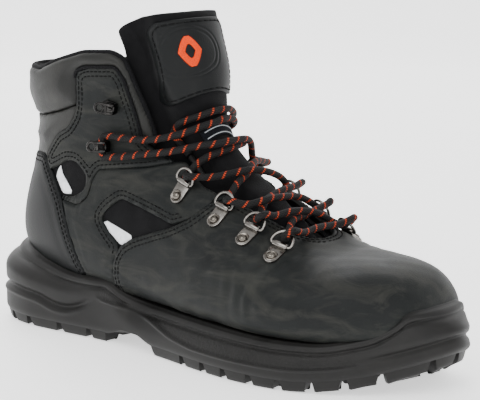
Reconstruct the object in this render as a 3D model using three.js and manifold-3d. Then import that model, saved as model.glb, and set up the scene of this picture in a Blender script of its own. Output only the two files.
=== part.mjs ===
// Steel toe work boot, right foot. Millimetres, +X towards the toe, +Y towards the
// medial side, +Z up. The origin is on the ground under the middle of the sole.
import * as THREE from 'three';
import { mergeVertices } from 'three/addons/utils/BufferGeometryUtils.js';
import Module from 'manifold-3d';

const wasm = await Module();
wasm.setup();

// ---------------------------------------------------------------- driving dimensions
const GAP = 0.3;              // between pieces that touch
const LEATHER = 1.8;          // outer leather panels
const STIFFENER_DEPTH = 4.0;  // inner face of the toe cap, counter and board, from the outside
const LINING_OUT = 4.3;       // outer face of the lining, from the outside of the boot
const LINING_IN = 6.0;        // inner face of the lining
const COLLAR_PROUD = 1.0;     // padding that stands proud of the leather round the collar
const TONGUE_EDGE = -8.1;     // outer face of the tongue where it runs under the eyestay
const TONGUE_THICKNESS = 5.5;
const LACE_RADIUS = 1.9;
const TIP_RADIUS = 1.6;
const SKIN_ROWS = 21;          // every layer of the upper is cut from the same grid
const SKIN_COLUMNS = 22;

const DEG = Math.PI / 180;
const FAR = 170;              // past every side of the boot

// ---------------------------------------------------------------- materials
const finish = (color, roughness, metalness = 0) =>
  new THREE.MeshStandardMaterial({ color, roughness, metalness });

const NUBUCK = finish('#2b302e', 0.75);
const SMOOTH_LEATHER = finish('#3a3a36', 0.5);
const SUEDE = finish('#17171a', 0.95);
const TEXTILE = finish('#232427', 0.95);
const RUBBER = finish('#1f1f1e', 0.65);
const MIDSOLE_FOAM = finish('#242423', 0.7);
const REFLECTIVE = finish('#e4e8ec', 0.35);
const NICKEL = finish('#c9c3ba', 0.25, 1);
const DARK_CHROME = finish('#55534f', 0.25, 1);
const STEEL = finish('#8d9093', 0.4, 1);
const BOARD = finish('#b39b74', 0.9);
const CORD = finish('#3c3b3b', 0.8);
const TIP = finish('#111111', 0.3);

// ---------------------------------------------------------------- solids
const group = new THREE.Group();

function toSolid(geometry) {
  const bare = geometry.index ? geometry.clone() : geometry;
  bare.deleteAttribute('normal');
  bare.deleteAttribute('uv');
  const merged = mergeVertices(bare, 1e-4);
  const solid = new wasm.Manifold(new wasm.Mesh({
    numProp: 3,
    vertProperties: new Float32Array(merged.attributes.position.array),
    triVerts: new Uint32Array(merged.index.array),
  }));
  return solid;
}

function addPiece(name, solid, material) {
  const raw = solid.getMesh();
  const geometry = new THREE.BufferGeometry();
  geometry.setAttribute('position', new THREE.BufferAttribute(new Float32Array(raw.vertProperties), 3));
  geometry.setIndex(new THREE.BufferAttribute(new Uint32Array(raw.triVerts), 1));
  geometry.computeVertexNormals();
  const mesh = new THREE.Mesh(geometry, material);
  mesh.name = name;
  group.add(mesh);
}

const combine = (first, ...rest) => rest.reduce((whole, piece) => whole.add(piece), first);
const cut = (first, ...rest) => rest.reduce((whole, piece) => whole.subtract(piece), first);

function fromGrid(points, triangles) {
  const geometry = new THREE.BufferGeometry();
  geometry.setAttribute('position', new THREE.Float32BufferAttribute(points.flatMap((p) => [p.x, p.y, p.z]), 3));
  geometry.setIndex(triangles.flat());
  return toSolid(geometry);
}

// ---------------------------------------------------------------- skin of the boot
// Cross sections of the outside of the upper, from the toe back over the instep and up the
// shaft. Each runs between a point on the ridge of the instep and a point under the foot or
// down the back of the heel.
const SECTIONS = [
  // ridge x, z    base x, z   half width: lateral, medial   centre y   waist   squareness
  [141.5, 34.0, 141.5, 31.0, 3.0, 3.0, 6.0, 0.40, 2.00, 2.2],
  [138.5, 46.5, 138.0, 25.0, 21.0, 20.0, 6.0, 0.40, 2.10, 2.4],
  [129.0, 57.0, 128.0, 22.0, 35.5, 33.0, 5.0, 0.38, 2.30, 2.6],
  [112.0, 62.0, 111.0, 21.0, 45.0, 41.0, 3.0, 0.36, 2.40, 2.8],
  [90.0, 65.0, 88.0, 20.0, 50.0, 45.5, 1.0, 0.34, 2.30, 2.8],
  [67.0, 73.0, 62.0, 20.0, 50.0, 46.5, -1.0, 0.30, 2.10, 2.8],
  [45.0, 86.0, 34.0, 20.0, 46.0, 44.5, -2.0, 0.28, 2.00, 2.8],
  [25.0, 99.0, 2.0, 21.0, 42.0, 41.0, -2.0, 0.26, 1.90, 2.7],
  [9.0, 113.0, -34.0, 22.0, 38.5, 38.0, -1.0, 0.26, 1.90, 2.6],
  [0.0, 125.0, -84.0, 24.0, 38.0, 38.0, 0.0, 0.30, 1.95, 2.4],
  [-4.0, 134.0, -126.0, 42.0, 37.0, 37.0, 0.0, 0.40, 2.00, 2.2],
  [-6.0, 143.0, -133.0, 75.0, 36.0, 36.0, 0.0, 0.48, 2.10, 2.1],
  [-8.0, 152.0, -128.0, 104.0, 36.0, 36.0, 0.0, 0.52, 2.20, 2.1],
  [-12.0, 163.0, -129.0, 130.0, 37.5, 37.5, 0.0, 0.52, 2.20, 2.2],
  [-16.0, 174.0, -134.0, 150.0, 39.0, 39.0, 0.0, 0.52, 2.20, 2.2],
  [-20.0, 185.0, -139.0, 170.0, 41.0, 41.0, 0.0, 0.52, 2.20, 2.2],
];
const LAST_SECTION = SECTIONS.length - 1;
const HEEL_BULGE = [0, 0, 0, 0, 0, 0, 0, 0, 0, 13, 13, 3, 0, 0, 0, 0].map((reach) => [reach]);

// Natural cubic spline through rows of numbers that stand one unit apart.
function naturalSpline(rows) {
  const count = rows.length;
  const width = rows[0].length;
  const bend = rows.map(() => new Array(width).fill(0));
  for (let column = 0; column < width; column += 1) {
    const ratio = [0];
    const value = [0];
    for (let i = 1; i < count - 1; i += 1) {
      const turn = 6 * (rows[i + 1][column] - 2 * rows[i][column] + rows[i - 1][column]);
      const pivot = 4 - ratio[i - 1];
      ratio.push(1 / pivot);
      value.push((turn - value[i - 1]) / pivot);
    }
    for (let i = count - 2; i > 0; i -= 1) {
      bend[i][column] = value[i] - ratio[i] * bend[i + 1][column];
    }
  }
  return (place) => {
    const i = Math.min(Math.max(Math.floor(place), 0), count - 2);
    const b = place - i;
    const a = 1 - b;
    return rows[i].map((start, column) => a * start + b * rows[i + 1][column]
      + ((a ** 3 - a) * bend[i][column] + (b ** 3 - b) * bend[i + 1][column]) / 6);
  };
}

const sectionAt = naturalSpline(SECTIONS);
const bulgeAt = naturalSpline(HEEL_BULGE);

// Point of the skin at a station (0 toe to 15 top) and an angle (0 ridge, positive medial).
function skin(station, angle) {
  const [ridgeX, ridgeZ, baseX, baseZ, lateral, medial, centre, waist, over, under] = sectionAt(station);
  const c = Math.cos(angle);
  const s = Math.sin(angle);
  const power = 2 / (c >= 0 ? over : under);
  const rise = (c >= 0 ? 1 - waist : -waist) * Math.abs(c) ** power;
  const share = waist + rise;
  const side = Math.sign(s) * (s >= 0 ? medial : lateral) * Math.abs(s) ** power;
  const bulge = bulgeAt(station)[0] * Math.min(c, 0) ** 2;
  return new THREE.Vector3(baseX + (ridgeX - baseX) * share - bulge, centre + side, baseZ + (ridgeZ - baseZ) * share);
}

function skinNormal(station, angle) {
  const step = 0.04;
  const t = Math.min(Math.max(station, step), LAST_SECTION - step);
  const along = skin(t + step, angle).sub(skin(t - step, angle));
  const across = skin(t, angle + step).sub(skin(t, angle - step));
  return across.cross(along).normalize();
}

const onSkin = (station, angle, height) =>
  skin(station, angle).addScaledVector(skinNormal(station, angle), height);

// Closed body bounded by the skin moved out by height.
function skinBody(height) {
  const rows = SKIN_ROWS + 1;
  const columns = SKIN_COLUMNS;
  const points = [];
  const triangles = [];
  for (let i = 0; i < rows; i += 1) {
    for (let j = 0; j < columns; j += 1) {
      points.push(onSkin((i / SKIN_ROWS) * LAST_SECTION, (j / columns) * 2 * Math.PI, height));
    }
  }
  const at = (i, j) => i * columns + (j % columns);
  for (let i = 0; i < rows - 1; i += 1) {
    for (let j = 0; j < columns; j += 1) {
      triangles.push([at(i, j), at(i, j + 1), at(i + 1, j + 1)], [at(i, j), at(i + 1, j + 1), at(i + 1, j)]);
    }
  }
  for (const [row, toe] of [[0, true], [rows - 1, false]]) {
    const middle = new THREE.Vector3();
    for (let j = 0; j < columns; j += 1) {
      middle.addScaledVector(points[at(row, j)], 1 / columns);
    }
    points.push(middle);
    for (let j = 0; j < columns; j += 1) {
      const rim = [at(row, j), at(row, j + 1)];
      triangles.push([points.length - 1, ...(toe ? rim.reverse() : rim)]);
    }
  }
  return fromGrid(points, triangles);
}

// Slab between two heights over the skin, for stations from..to and angles -side..side.
function skinSlab({ from, to, rows, columns, angles, top, bottom }) {
  const points = [];
  const triangles = [];
  const at = (layer, i, j) => (layer * (rows + 1) + i) * (columns + 1) + j;
  for (const height of [top, bottom]) {
    for (let i = 0; i <= rows; i += 1) {
      const station = from + ((to - from) * i) / rows;
      const [first, last] = angles(station);
      for (let j = 0; j <= columns; j += 1) {
        const angle = first + ((last - first) * j) / columns;
        points.push(onSkin(station, angle, height(station, angle)));
      }
    }
  }
  const quad = (a, b, c, d) => triangles.push([a, b, c], [a, c, d]);
  for (let i = 0; i < rows; i += 1) {
    for (let j = 0; j < columns; j += 1) {
      quad(at(0, i, j), at(0, i, j + 1), at(0, i + 1, j + 1), at(0, i + 1, j));
      quad(at(1, i, j), at(1, i + 1, j), at(1, i + 1, j + 1), at(1, i, j + 1));
    }
    quad(at(0, i, 0), at(0, i + 1, 0), at(1, i + 1, 0), at(1, i, 0));
    quad(at(0, i, columns), at(1, i, columns), at(1, i + 1, columns), at(0, i + 1, columns));
  }
  for (let j = 0; j < columns; j += 1) {
    quad(at(0, 0, j), at(1, 0, j), at(1, 0, j + 1), at(0, 0, j + 1));
    quad(at(0, rows, j), at(0, rows, j + 1), at(1, rows, j + 1), at(1, rows, j));
  }
  return fromGrid(points, triangles);
}

// ---------------------------------------------------------------- outlines
const asPoints = (pairs) => pairs.map(([x, y]) => new THREE.Vector2(x, y));

// The outline moved inwards by a distance, corner by corner.
function inset(points, distance) {
  const turn = THREE.ShapeUtils.isClockWise(points) ? -1 : 1;
  return points.map((point, i) => {
    const before = points[(i + points.length - 1) % points.length];
    const after = points[(i + 1) % points.length];
    const into = point.clone().sub(before).normalize();
    const out = after.clone().sub(point).normalize();
    const side = new THREE.Vector2(-into.y - out.y, into.x + out.x);
    const reach = distance * turn * 2 / side.lengthSq();
    return point.clone().addScaledVector(side, reach);
  });
}

function planPrism(points, zFrom, zTo) {
  const geometry = new THREE.ExtrudeGeometry(new THREE.Shape(points), { depth: zTo - zFrom, bevelEnabled: false });
  return toSolid(geometry.translate(0, 0, zFrom));
}

// Outline of x and z seen from the side, carried across the boot.
function sidePrism(points, yFrom = -FAR, yTo = FAR) {
  const geometry = new THREE.ExtrudeGeometry(new THREE.Shape(points), { depth: yTo - yFrom, bevelEnabled: false });
  return toSolid(geometry.rotateX(Math.PI / 2).translate(0, yTo, 0));
}

// ---------------------------------------------------------------- seams, seen from the side (x, z)
const HEEL_SEAM = [[-62, 0], [-69, 37], [-77, 57], [-84, 76], [-93, 89], [-100, 97]];
const HEEL_TOP = [[-103, 99], [-118, 98], [-FAR, 97]];
const VAMP_SEAM_LOW = [[-43, 0], [-43, 38], [-41, 49], [-36, 56]];
const VAMP_SEAM_WINDOW = [[-27, 61], [-12, 66], [0, 70]];
const VAMP_SEAM_HIGH = [[12, 76], [22, 85], [28, 92]];
const WINDOW_EDGE = [[-1, 71.5], [-15, 75], [-27, 78], [-39, 81], [-48, 75], [-53, 69], [-47, 62], [-38, 55]];
const ANKLE_SEAM = [[-24, 99], [-56, 95], [-60, 88], [-63, 79], [-71, 74]];
const ANKLE_REAR = [[-96, 103], [-88, 112], [-79, 116], [-73, 123], [-71, 129]];
const ROLL_SEAM = [[-70, 147], [-63, 150], [-43, 151], [-38, 144], [-34, 130], [-30, 114]];
const ROLL_END = [[-25, 110]];
const ANKLE_THROAT = [[-20, 107], [-14, 104.5], [-7, 103]];
const QUARTER_THROAT = [[-2, 103], [4, 97], [12, 92], [22, 89]];
const COLLAR_SEAM = [[-FAR, 119], [-107, 120], [-87, 124]];
const COLLAR_TOP = [[-22, 112], [-24, 118], [-30, 135], [-35, 148], [-39, 156], [-46, 159],
  [-65, 158], [-91, 151], [-105, 146], [-FAR, 146]];
const UPPER_WINDOW = [[-72, 98], [-64, 91], [-65, 83], [-74, 78], [-88, 78], [-96, 91], [-86, 95], [-80, 98]];

const back = (list) => [...list].reverse();
const heelCapOutline = [[-FAR, 0], ...HEEL_SEAM, ...HEEL_TOP];
const achillesOutline = [...back(HEEL_TOP), HEEL_SEAM.at(-1), ...ANKLE_REAR, ...back(COLLAR_SEAM)];
const ankleOutline = [...HEEL_SEAM.slice(3), ...ANKLE_REAR, ...ROLL_SEAM, ...ROLL_END, ...ANKLE_THROAT, ...ANKLE_SEAM];
const quarterOutline = [...HEEL_SEAM.slice(0, 4), ...back(ANKLE_SEAM), ANKLE_THROAT.at(-1), ...QUARTER_THROAT,
  VAMP_SEAM_HIGH[1], VAMP_SEAM_HIGH[0], ...WINDOW_EDGE, VAMP_SEAM_LOW[2], VAMP_SEAM_LOW[1], VAMP_SEAM_LOW[0]];
const vampOutline = [...VAMP_SEAM_LOW, ...VAMP_SEAM_WINDOW, ...VAMP_SEAM_HIGH, [FAR, 92], [FAR, 0]];
const collarOutline = [...COLLAR_SEAM, ANKLE_REAR.at(-1), ...ROLL_SEAM, ...ROLL_END, ...COLLAR_TOP];
const liningOutline = [[FAR, 0], [FAR, 120], [28, 120], ...back(QUARTER_THROAT), ...back(ANKLE_THROAT), ...ROLL_END,
  ...back(ROLL_SEAM), ANKLE_REAR.at(-1), ...back(COLLAR_SEAM), [-FAR, 0]];

// Opening over the instep, seen from above (x, y).
const THROAT = [[75.5, -1], [74, -8], [71, -12], [63, -16], [44, -21.5], [20, -24], [-30, -24],
  [-30, 24], [20, 22], [44, 20], [63, 15.5], [71, 11], [74, 6]];
const THROAT_FLOOR = 55;

const LATERAL = [-FAR, -GAP / 2];
const MEDIAL = [GAP / 2, FAR];

// ---------------------------------------------------------------- upper
const outside = skinBody(0);
const leather = cut(outside, skinBody(-LEATHER));
const throat = planPrism(asPoints(THROAT), THROAT_FLOOR, FAR);
const stiffenerZone = cut(skinBody(-LEATHER - GAP), skinBody(-STIFFENER_DEPTH));
const panel = (body, outline, sides = []) => body.intersect(sidePrism(inset(asPoints(outline), GAP / 2), ...sides));

// ---------------------------------------------------------------- lacing hardware on the skin
// Station and angle of the rivet and of the middle of the ring, from the toe upwards.
const RINGS = [
  { rivet: [4.91, 43.2], ring: [4.94, 28] },
  { rivet: [5.72, 45.2], ring: [5.7, 33] },
  { rivet: [6.61, 47], ring: [6.6, 36] },
  { rivet: [7.86, 51], ring: [7.88, 43] },
];
const HOOKS = [[10.45, 70], [11.55, 71]];
const SIDES = [['lateral', -1], ['medial', 1]];

const PLATE_BASE = 0.7;
const PLATE_THICKNESS = 1.0;
const RING_AXIS = 8.2;        // from the rivet to the bar of the ring
const SLEEVE_RADIUS = 1.65;
const SLEEVE_BORE = 1.2;
const RING_WIRE = 0.75;
const RING_HALF_WIDTH = 5.9;
const RING_REACH = 7.6;
const RING_TILT = 25 * DEG;
const RIVET_HEAD = 3.0;
const RIVET_SHANK = 1.2;
const RIVET_HOLE = 1.5;

// Frame on the skin: x from one point towards another, z along the normal between them.
function skinFrame(fromPlace, toPlace) {
  const start = skin(...fromPlace);
  const towards = skin(...toPlace);
  const normal = skinNormal((fromPlace[0] + toPlace[0]) / 2, (fromPlace[1] + toPlace[1]) / 2);
  const x = towards.sub(start).projectOnPlane(normal).normalize();
  const y = normal.clone().cross(x);
  return new THREE.Matrix4().makeBasis(x, y, normal).setPosition(start);
}

const placed = (geometry, frame) => toSolid(geometry.applyMatrix4(frame));

function plateShape() {
  const shape = new THREE.Shape();
  const end = 4;
  shape.moveTo(RING_AXIS, -4.3);
  shape.lineTo(RING_AXIS, 4.3);
  shape.lineTo(0, end);
  shape.absarc(0, 0, end, Math.PI / 2, Math.PI * 1.5, false);
  const hole = new THREE.Path();
  hole.absarc(0, 0, RIVET_HOLE, 0, Math.PI * 2, true);
  shape.holes.push(hole);
  return shape;
}

function clipSolid(frame) {
  const plate = new THREE.ExtrudeGeometry(plateShape(), { depth: PLATE_THICKNESS, bevelEnabled: false, curveSegments: 4 });
  plate.translate(0, 0, PLATE_BASE);
  const axisHeight = PLATE_BASE + SLEEVE_RADIUS;
  const sleeve = new THREE.CylinderGeometry(SLEEVE_RADIUS, SLEEVE_RADIUS, 8.6, 8).translate(RING_AXIS, 0, axisHeight);
  const bore = new THREE.CylinderGeometry(SLEEVE_BORE, SLEEVE_BORE, 12, 6).translate(RING_AXIS, 0, axisHeight);
  return cut(combine(placed(plate, frame), placed(sleeve, frame)), placed(bore, frame));
}

// Wire bent to a D in its own plane: a bar across the start and an arch out to the reach.
function ringSolid(frame) {
  const shape = new THREE.Shape();
  const corner = 1.6;
  shape.moveTo(0, corner - RING_HALF_WIDTH);
  shape.lineTo(0, RING_HALF_WIDTH - corner);
  shape.quadraticCurveTo(0, RING_HALF_WIDTH, corner, RING_HALF_WIDTH);
  shape.bezierCurveTo(RING_REACH * 0.62, RING_HALF_WIDTH, RING_REACH, RING_HALF_WIDTH * 0.55, RING_REACH, 0);
  shape.bezierCurveTo(RING_REACH, -RING_HALF_WIDTH * 0.55, RING_REACH * 0.62, -RING_HALF_WIDTH, corner, -RING_HALF_WIDTH);
  shape.quadraticCurveTo(0, -RING_HALF_WIDTH, 0, corner - RING_HALF_WIDTH);
  const loop = shape.getPoints(3).slice(0, -1);
  const sides = 6;
  const points = [];
  const triangles = [];
  loop.forEach((point, i) => {
    const before = loop[(i + loop.length - 1) % loop.length];
    const after = loop[(i + 1) % loop.length];
    const side = new THREE.Vector2(after.y - before.y, before.x - after.x).normalize();
    for (let j = 0; j < sides; j += 1) {
      const angle = (j / sides) * 2 * Math.PI;
      const out = RING_WIRE * Math.cos(angle);
      points.push(new THREE.Vector3(point.x + side.x * out, point.y + side.y * out, RING_WIRE * Math.sin(angle)));
    }
  });
  const at = (i, j) => (i % loop.length) * sides + (j % sides);
  for (let i = 0; i < loop.length; i += 1) {
    for (let j = 0; j < sides; j += 1) {
      triangles.push([at(i, j), at(i + 1, j + 1), at(i, j + 1)], [at(i, j), at(i + 1, j), at(i + 1, j + 1)]);
    }
  }
  const lift = new THREE.Matrix4().makeRotationY(-RING_TILT).setPosition(RING_AXIS, 0, PLATE_BASE + SLEEVE_RADIUS);
  const whole = frame.clone().multiply(lift);
  return fromGrid(points.map((p) => p.applyMatrix4(whole)), triangles);
}

// Domed head, shank through plate and leather, and the clenched end behind the leather.
function rivetSolid(frame, head, shank, seat) {
  const clench = -LEATHER - 0.9;
  const profile = [[0, clench - 0.6], [2.4, clench - 0.6], [2.4, clench], [shank, clench], [shank, seat],
    [head, seat], [head * 0.9, seat + 0.8], [head * 0.55, seat + 1.4], [0, seat + 1.6]];
  const geometry = new THREE.LatheGeometry(asPoints(profile), 8).rotateX(Math.PI / 2);
  return placed(geometry, frame);
}

function rivetHole(frame) {
  return placed(new THREE.CylinderGeometry(RIVET_HOLE, RIVET_HOLE, 6, 8).rotateX(Math.PI / 2), frame);
}

const ringFrames = RINGS.flatMap(({ rivet, ring }, i) => SIDES.map(([side, sign]) => ({
  name: `${side}_${i + 1}`,
  frame: skinFrame([rivet[0], rivet[1] * sign * DEG], [ring[0], ring[1] * sign * DEG]),
})));
const hookFrames = HOOKS.flatMap(([station, angle], i) => SIDES.map(([side, sign]) => ({
  name: `${side}_${i + 1}`,
  frame: skinFrame([station, angle * sign * DEG], [station - 0.35, (angle - 10) * sign * DEG]),
})));
const holes = [...ringFrames, ...hookFrames].map(({ frame }) => rivetHole(frame));

const HOOK_NECK = 2.6;        // from the rivet to the back of the neck
const HOOK_LIP = 6.6;         // height of the underside of the lip
const HOOK_WIDTH = 6;
const HOOK_BASE_TOP = 1.6;

function hookSolid(frame) {
  const profile = asPoints([[-5.5, PLATE_BASE], [HOOK_NECK + 1, PLATE_BASE], [HOOK_NECK + 1.8, 1.9],
    [HOOK_NECK + 1.8, 6.2], [HOOK_NECK + 0.8, HOOK_LIP + 0.9], [-6.5, HOOK_LIP + 1.2], [-6.8, HOOK_LIP + 0.4],
    [-6, HOOK_LIP], [HOOK_NECK + 0.2, HOOK_LIP], [HOOK_NECK + 0.8, 6], [HOOK_NECK + 0.8, 2.1],
    [HOOK_NECK, HOOK_BASE_TOP], [-5.5, HOOK_BASE_TOP]]);
  const body = new THREE.ExtrudeGeometry(new THREE.Shape(profile), { depth: HOOK_WIDTH, bevelEnabled: false });
  body.rotateX(Math.PI / 2).translate(0, HOOK_WIDTH / 2, 0);
  const clench = -LEATHER - 0.9;
  const shank = asPoints([[0, clench - 0.6], [2.4, clench - 0.6], [2.4, clench], [RIVET_SHANK, clench],
    [RIVET_SHANK, 1], [0, 1]]);
  const tail = new THREE.LatheGeometry(shank, 8).rotateX(Math.PI / 2);
  return combine(placed(body, frame), placed(tail, frame));
}

// ---------------------------------------------------------------- leather panels
addPiece('vamp', cut(panel(leather, vampOutline), throat, ...holes), NUBUCK);
for (const [side, sign] of SIDES) {
  const range = sign < 0 ? LATERAL : MEDIAL;
  const window = sidePrism(asPoints(UPPER_WINDOW), ...range);
  addPiece(`quarter_${side}`, cut(panel(leather, quarterOutline, range), ...holes), NUBUCK);
  addPiece(`ankle_panel_${side}`, cut(panel(leather, ankleOutline, range), window, ...holes), NUBUCK);
}
addPiece('heel_cap', panel(leather, heelCapOutline), SMOOTH_LEATHER);
addPiece('achilles_panel', panel(cut(skinBody(GAP), skinBody(-STIFFENER_DEPTH)), achillesOutline), SMOOTH_LEATHER);
addPiece('collar', panel(cut(skinBody(COLLAR_PROUD), skinBody(-LINING_IN)), collarOutline), SMOOTH_LEATHER);

const lined = cut(skinBody(-LINING_OUT), skinBody(-LINING_IN));
addPiece('lining', cut(panel(lined, liningOutline), throat), TEXTILE);

// ---------------------------------------------------------------- window backing and strips
const BACKING = [[-95, 100], [-60, 102], [-54, 92], [4, 78], [4, 66], [-30, 50], [-58, 55], [-66, 72], [-97, 78]];
const LOW_STRIP = [[-53, 69], [-28, 61.5], [-37, 55.5], [-47, 62]];
const HIGH_STRIP = [[-87, 95], [-91, 88], [-84, 79], [-75, 79], [-79, 84], [-85, 90]];
const backingLayer = cut(skinBody(-LEATHER - GAP), skinBody(-LEATHER - GAP - 0.8));
const stripLayer = cut(skinBody(-1.2), skinBody(-LEATHER));
for (const [side, sign] of SIDES) {
  const range = sign < 0 ? LATERAL : MEDIAL;
  addPiece(`window_backing_${side}`, panel(backingLayer, BACKING, range), SUEDE);
  addPiece(`reflective_low_${side}`, stripLayer.intersect(sidePrism(inset(asPoints(LOW_STRIP), 0.6), ...range)), REFLECTIVE);
  addPiece(`reflective_high_${side}`, stripLayer.intersect(sidePrism(inset(asPoints(HIGH_STRIP), 0.6), ...range)), REFLECTIVE);
}

// ---------------------------------------------------------------- stiffeners and insole
const TOE_CAP = [[93, 80], [97, 0], [FAR, 0], [FAR, 80]];
const COUNTER = [[-FAR, 28], [-66, 28], [-74, 50], [-84, 70], [-100, 75], [-FAR, 80]];
const BOARD_EDGE = [[-FAR, 0], [91, 0], [91, 27], [-FAR, 27]];
const FOOTBED_TOP = [[-FAR, 0], [FAR, 0], [FAR, 33], [60, 30], [-30, 31], [-90, 34], [-FAR, 37]];
const capMouth = planPrism(new THREE.EllipseCurve(90, 3, 38, 30).getPoints(20).slice(0, -1), 0, 30);
addPiece('steel_toe_cap', cut(panel(stiffenerZone, TOE_CAP), capMouth), STEEL);
addPiece('heel_counter', panel(stiffenerZone, COUNTER), BOARD);
addPiece('insole_board', panel(stiffenerZone, BOARD_EDGE), BOARD);
addPiece('footbed', panel(skinBody(-LINING_IN - GAP), FOOTBED_TOP), TEXTILE);

// ---------------------------------------------------------------- sole
const SOLE_PLAN = [[152, 4], [147, 24], [128, 41], [98, 52], [60, 54], [30, 48], [0, 39], [-30, 33], [-60, 33],
  [-100, 38], [-130, 33], [-146, 18], [-152, 0], [-148, -18], [-135, -32], [-115, -38.5], [-90, -39], [-50, -38],
  [-10, -43], [30, -51], [60, -54], [90, -50.5], [118, -38], [140, -19]];
const SOLE_TOP = [[FAR, 43], [141, 42], [137, 37], [129, 31], [108, 25], [81, 24], [-22, 25], [-37, 28], [-48, 35],
  [-74, 34], [-86, 35], [-120, 41], [-FAR, 47]];
const TREAD = 10;             // top of the outsole over the ground
const LUG_HEIGHT = 6;
const SPRING_START = 85;      // the toe curves up from here
const springAt = (x) => 14 * (Math.max(x - SPRING_START, 0) / 67) ** 2;
const LUG_GAPS = [-111, -86, -64, 16, 33, 50, 67, 84, 101, 117];
const LUG_GAP_WIDTH = 3.2;
const MIDSOLE_RIM = 7;        // thickness of the wall that rises round the foot
const RIM_FROM = 24;

// Line along the sole that follows the toe up, at a height over the tread.
function soleLine(height) {
  const stations = [FAR, 152, 138, 124, 110, 98, SPRING_START, -FAR];
  return stations.map((x) => [x, height + springAt(Math.min(x, 160))]);
}

const solePlan = new THREE.CatmullRomCurve3(SOLE_PLAN.map(([x, y]) => new THREE.Vector3(x, y, 0)), true);
const solePoints = solePlan.getPoints(60).slice(0, -1).map((p) => new THREE.Vector2(p.x, p.y));
const soleColumn = planPrism(solePoints, -5, 60);
const ARCH = [[-50, -5], [-40, 6.5], [-18, 7], [-10, -5]];
const lugCuts = LUG_GAPS.map((x) => {
  const floor = springAt(x) + LUG_HEIGHT;
  return sidePrism(asPoints([[x - LUG_GAP_WIDTH, -5], [x - 0.8, floor], [x + 0.8, floor], [x + LUG_GAP_WIDTH, -5]]));
});
const outsoleOutline = [...soleLine(0), ...back(soleLine(TREAD))];
const treadChannel = planPrism(asPoints([[-138, -2], [-62, -2], [-62, 2], [-138, 2]]), -5, LUG_HEIGHT);
addPiece('outsole', cut(soleColumn.intersect(sidePrism(asPoints(outsoleOutline))), sidePrism(asPoints(ARCH)),
  treadChannel, ...lugCuts), RUBBER);

const SHANK = { from: -72, to: 18, halfWidth: 8, bottom: 16.6, top: 18.4 };
const shankOutline = asPoints([[SHANK.from, -SHANK.halfWidth], [SHANK.to, -SHANK.halfWidth],
  [SHANK.to, SHANK.halfWidth], [SHANK.from, SHANK.halfWidth]]);
const shankPocket = planPrism(inset(shankOutline, -GAP), SHANK.bottom - GAP, 40);
const midsoleOutline = [...soleLine(TREAD + GAP), ...back(SOLE_TOP)];
const heelRegion = soleColumn.intersect(sidePrism(asPoints([[-FAR, -5], [-46, -5], [-46, 60], [-FAR, 60]])));
const rimRegion = combine(skinBody(MIDSOLE_RIM), planPrism(solePoints, -5, RIM_FROM), heelRegion);
addPiece('midsole', cut(soleColumn.intersect(sidePrism(asPoints(midsoleOutline))).intersect(rimRegion),
  skinBody(GAP), shankPocket), MIDSOLE_FOAM);
addPiece('shank', planPrism(shankOutline, SHANK.bottom, SHANK.top), STEEL);

// ---------------------------------------------------------------- tongue
// Half angle of the throat opening at stations 4 to 15; the tongue reaches past it.
const OPENING = [2, 17, 25, 33, 37, 39, 42, 47, 52, 50, 48, 44].map((angle) => [angle]);
const openingAt = naturalSpline(OPENING);
const halfOpening = (station) => openingAt(station - 4)[0];
const TONGUE_TUCK = 14;
const TONGUE_FROM = 4.25;
const TONGUE_TO = 14.6;
const TONGUE_ROWS = 20;
const TONGUE_COLUMNS = 12;
const tongueHalf = (station) => (halfOpening(station) + TONGUE_TUCK) * DEG;

// Height of the outside of the tongue over the skin: low under the eyestay, proud between.
function tongueTop(station, angle) {
  const open = halfOpening(station);
  const middle = 1 - THREE.MathUtils.smoothstep(Math.abs(angle) / DEG, open - 17, open - 5);
  const start = THREE.MathUtils.smoothstep(station, 4.5, 5.4);
  const upper = THREE.MathUtils.smoothstep(station, 8, 10.5);
  const flare = THREE.MathUtils.smoothstep(station, 13.3, 14.5);
  const edge = TONGUE_EDGE + 5 * flare;
  const crest = -2 + 5 * upper;
  return edge + (crest - edge) * middle * start;
}

// Slab between two heights over the outside of the tongue.
const tongueLayer = (from, to, rows, columns, halfAngle, low, high) => skinSlab({
  from,
  to,
  rows,
  columns,
  angles: (station) => [-halfAngle(station), halfAngle(station)],
  top: (station, angle) => tongueTop(station, angle) + high,
  bottom: (station, angle) => tongueTop(station, angle) + low,
});
const tongueBody = tongueLayer(TONGUE_FROM, TONGUE_TO, TONGUE_ROWS, TONGUE_COLUMNS, tongueHalf, -TONGUE_THICKNESS, 0);
const tongueClearance = tongueLayer(TONGUE_FROM, TONGUE_TO, TONGUE_ROWS, TONGUE_COLUMNS, tongueHalf, -TONGUE_THICKNESS, GAP);

// The upper tongue folds about this line over the top crossing of the lace.
const FOLD = { x: -6, z: 135 };
const flapRegion = sidePrism(asPoints([[FOLD.x, FOLD.z + 0.4], [80, FOLD.z + 50], [80, 230], [-120, 230],
  [-120, FOLD.z + 0.4 + 114 * Math.tan(18 * DEG)]]));
const rootRegion = sidePrism(asPoints([[FOLD.x, FOLD.z - 0.4], [-120, FOLD.z - 0.4 + 114 * Math.tan(3 * DEG)],
  [-120, 0], [120, 0], [120, FOLD.z - 0.4 - 126 * Math.tan(4 * DEG)]]));
addPiece('tongue', tongueBody.intersect(rootRegion), SUEDE);
addPiece('tongue_flap', tongueBody.intersect(flapRegion), SUEDE);

const patchHalf = (station) => (36 + 2.5 * (station - 11)) * DEG;
const patchBody = tongueLayer(10.4, 14.25, 10, 8, patchHalf, -1, GAP + 1.4);
addPiece('tongue_patch', cut(patchBody.intersect(flapRegion), tongueClearance), NUBUCK);
const labelBody = tongueLayer(8.3, 8.7, 2, 6, () => 20 * DEG, -1, GAP + 0.6);
addPiece('tongue_label', cut(labelBody, tongueClearance), TEXTILE);

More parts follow.
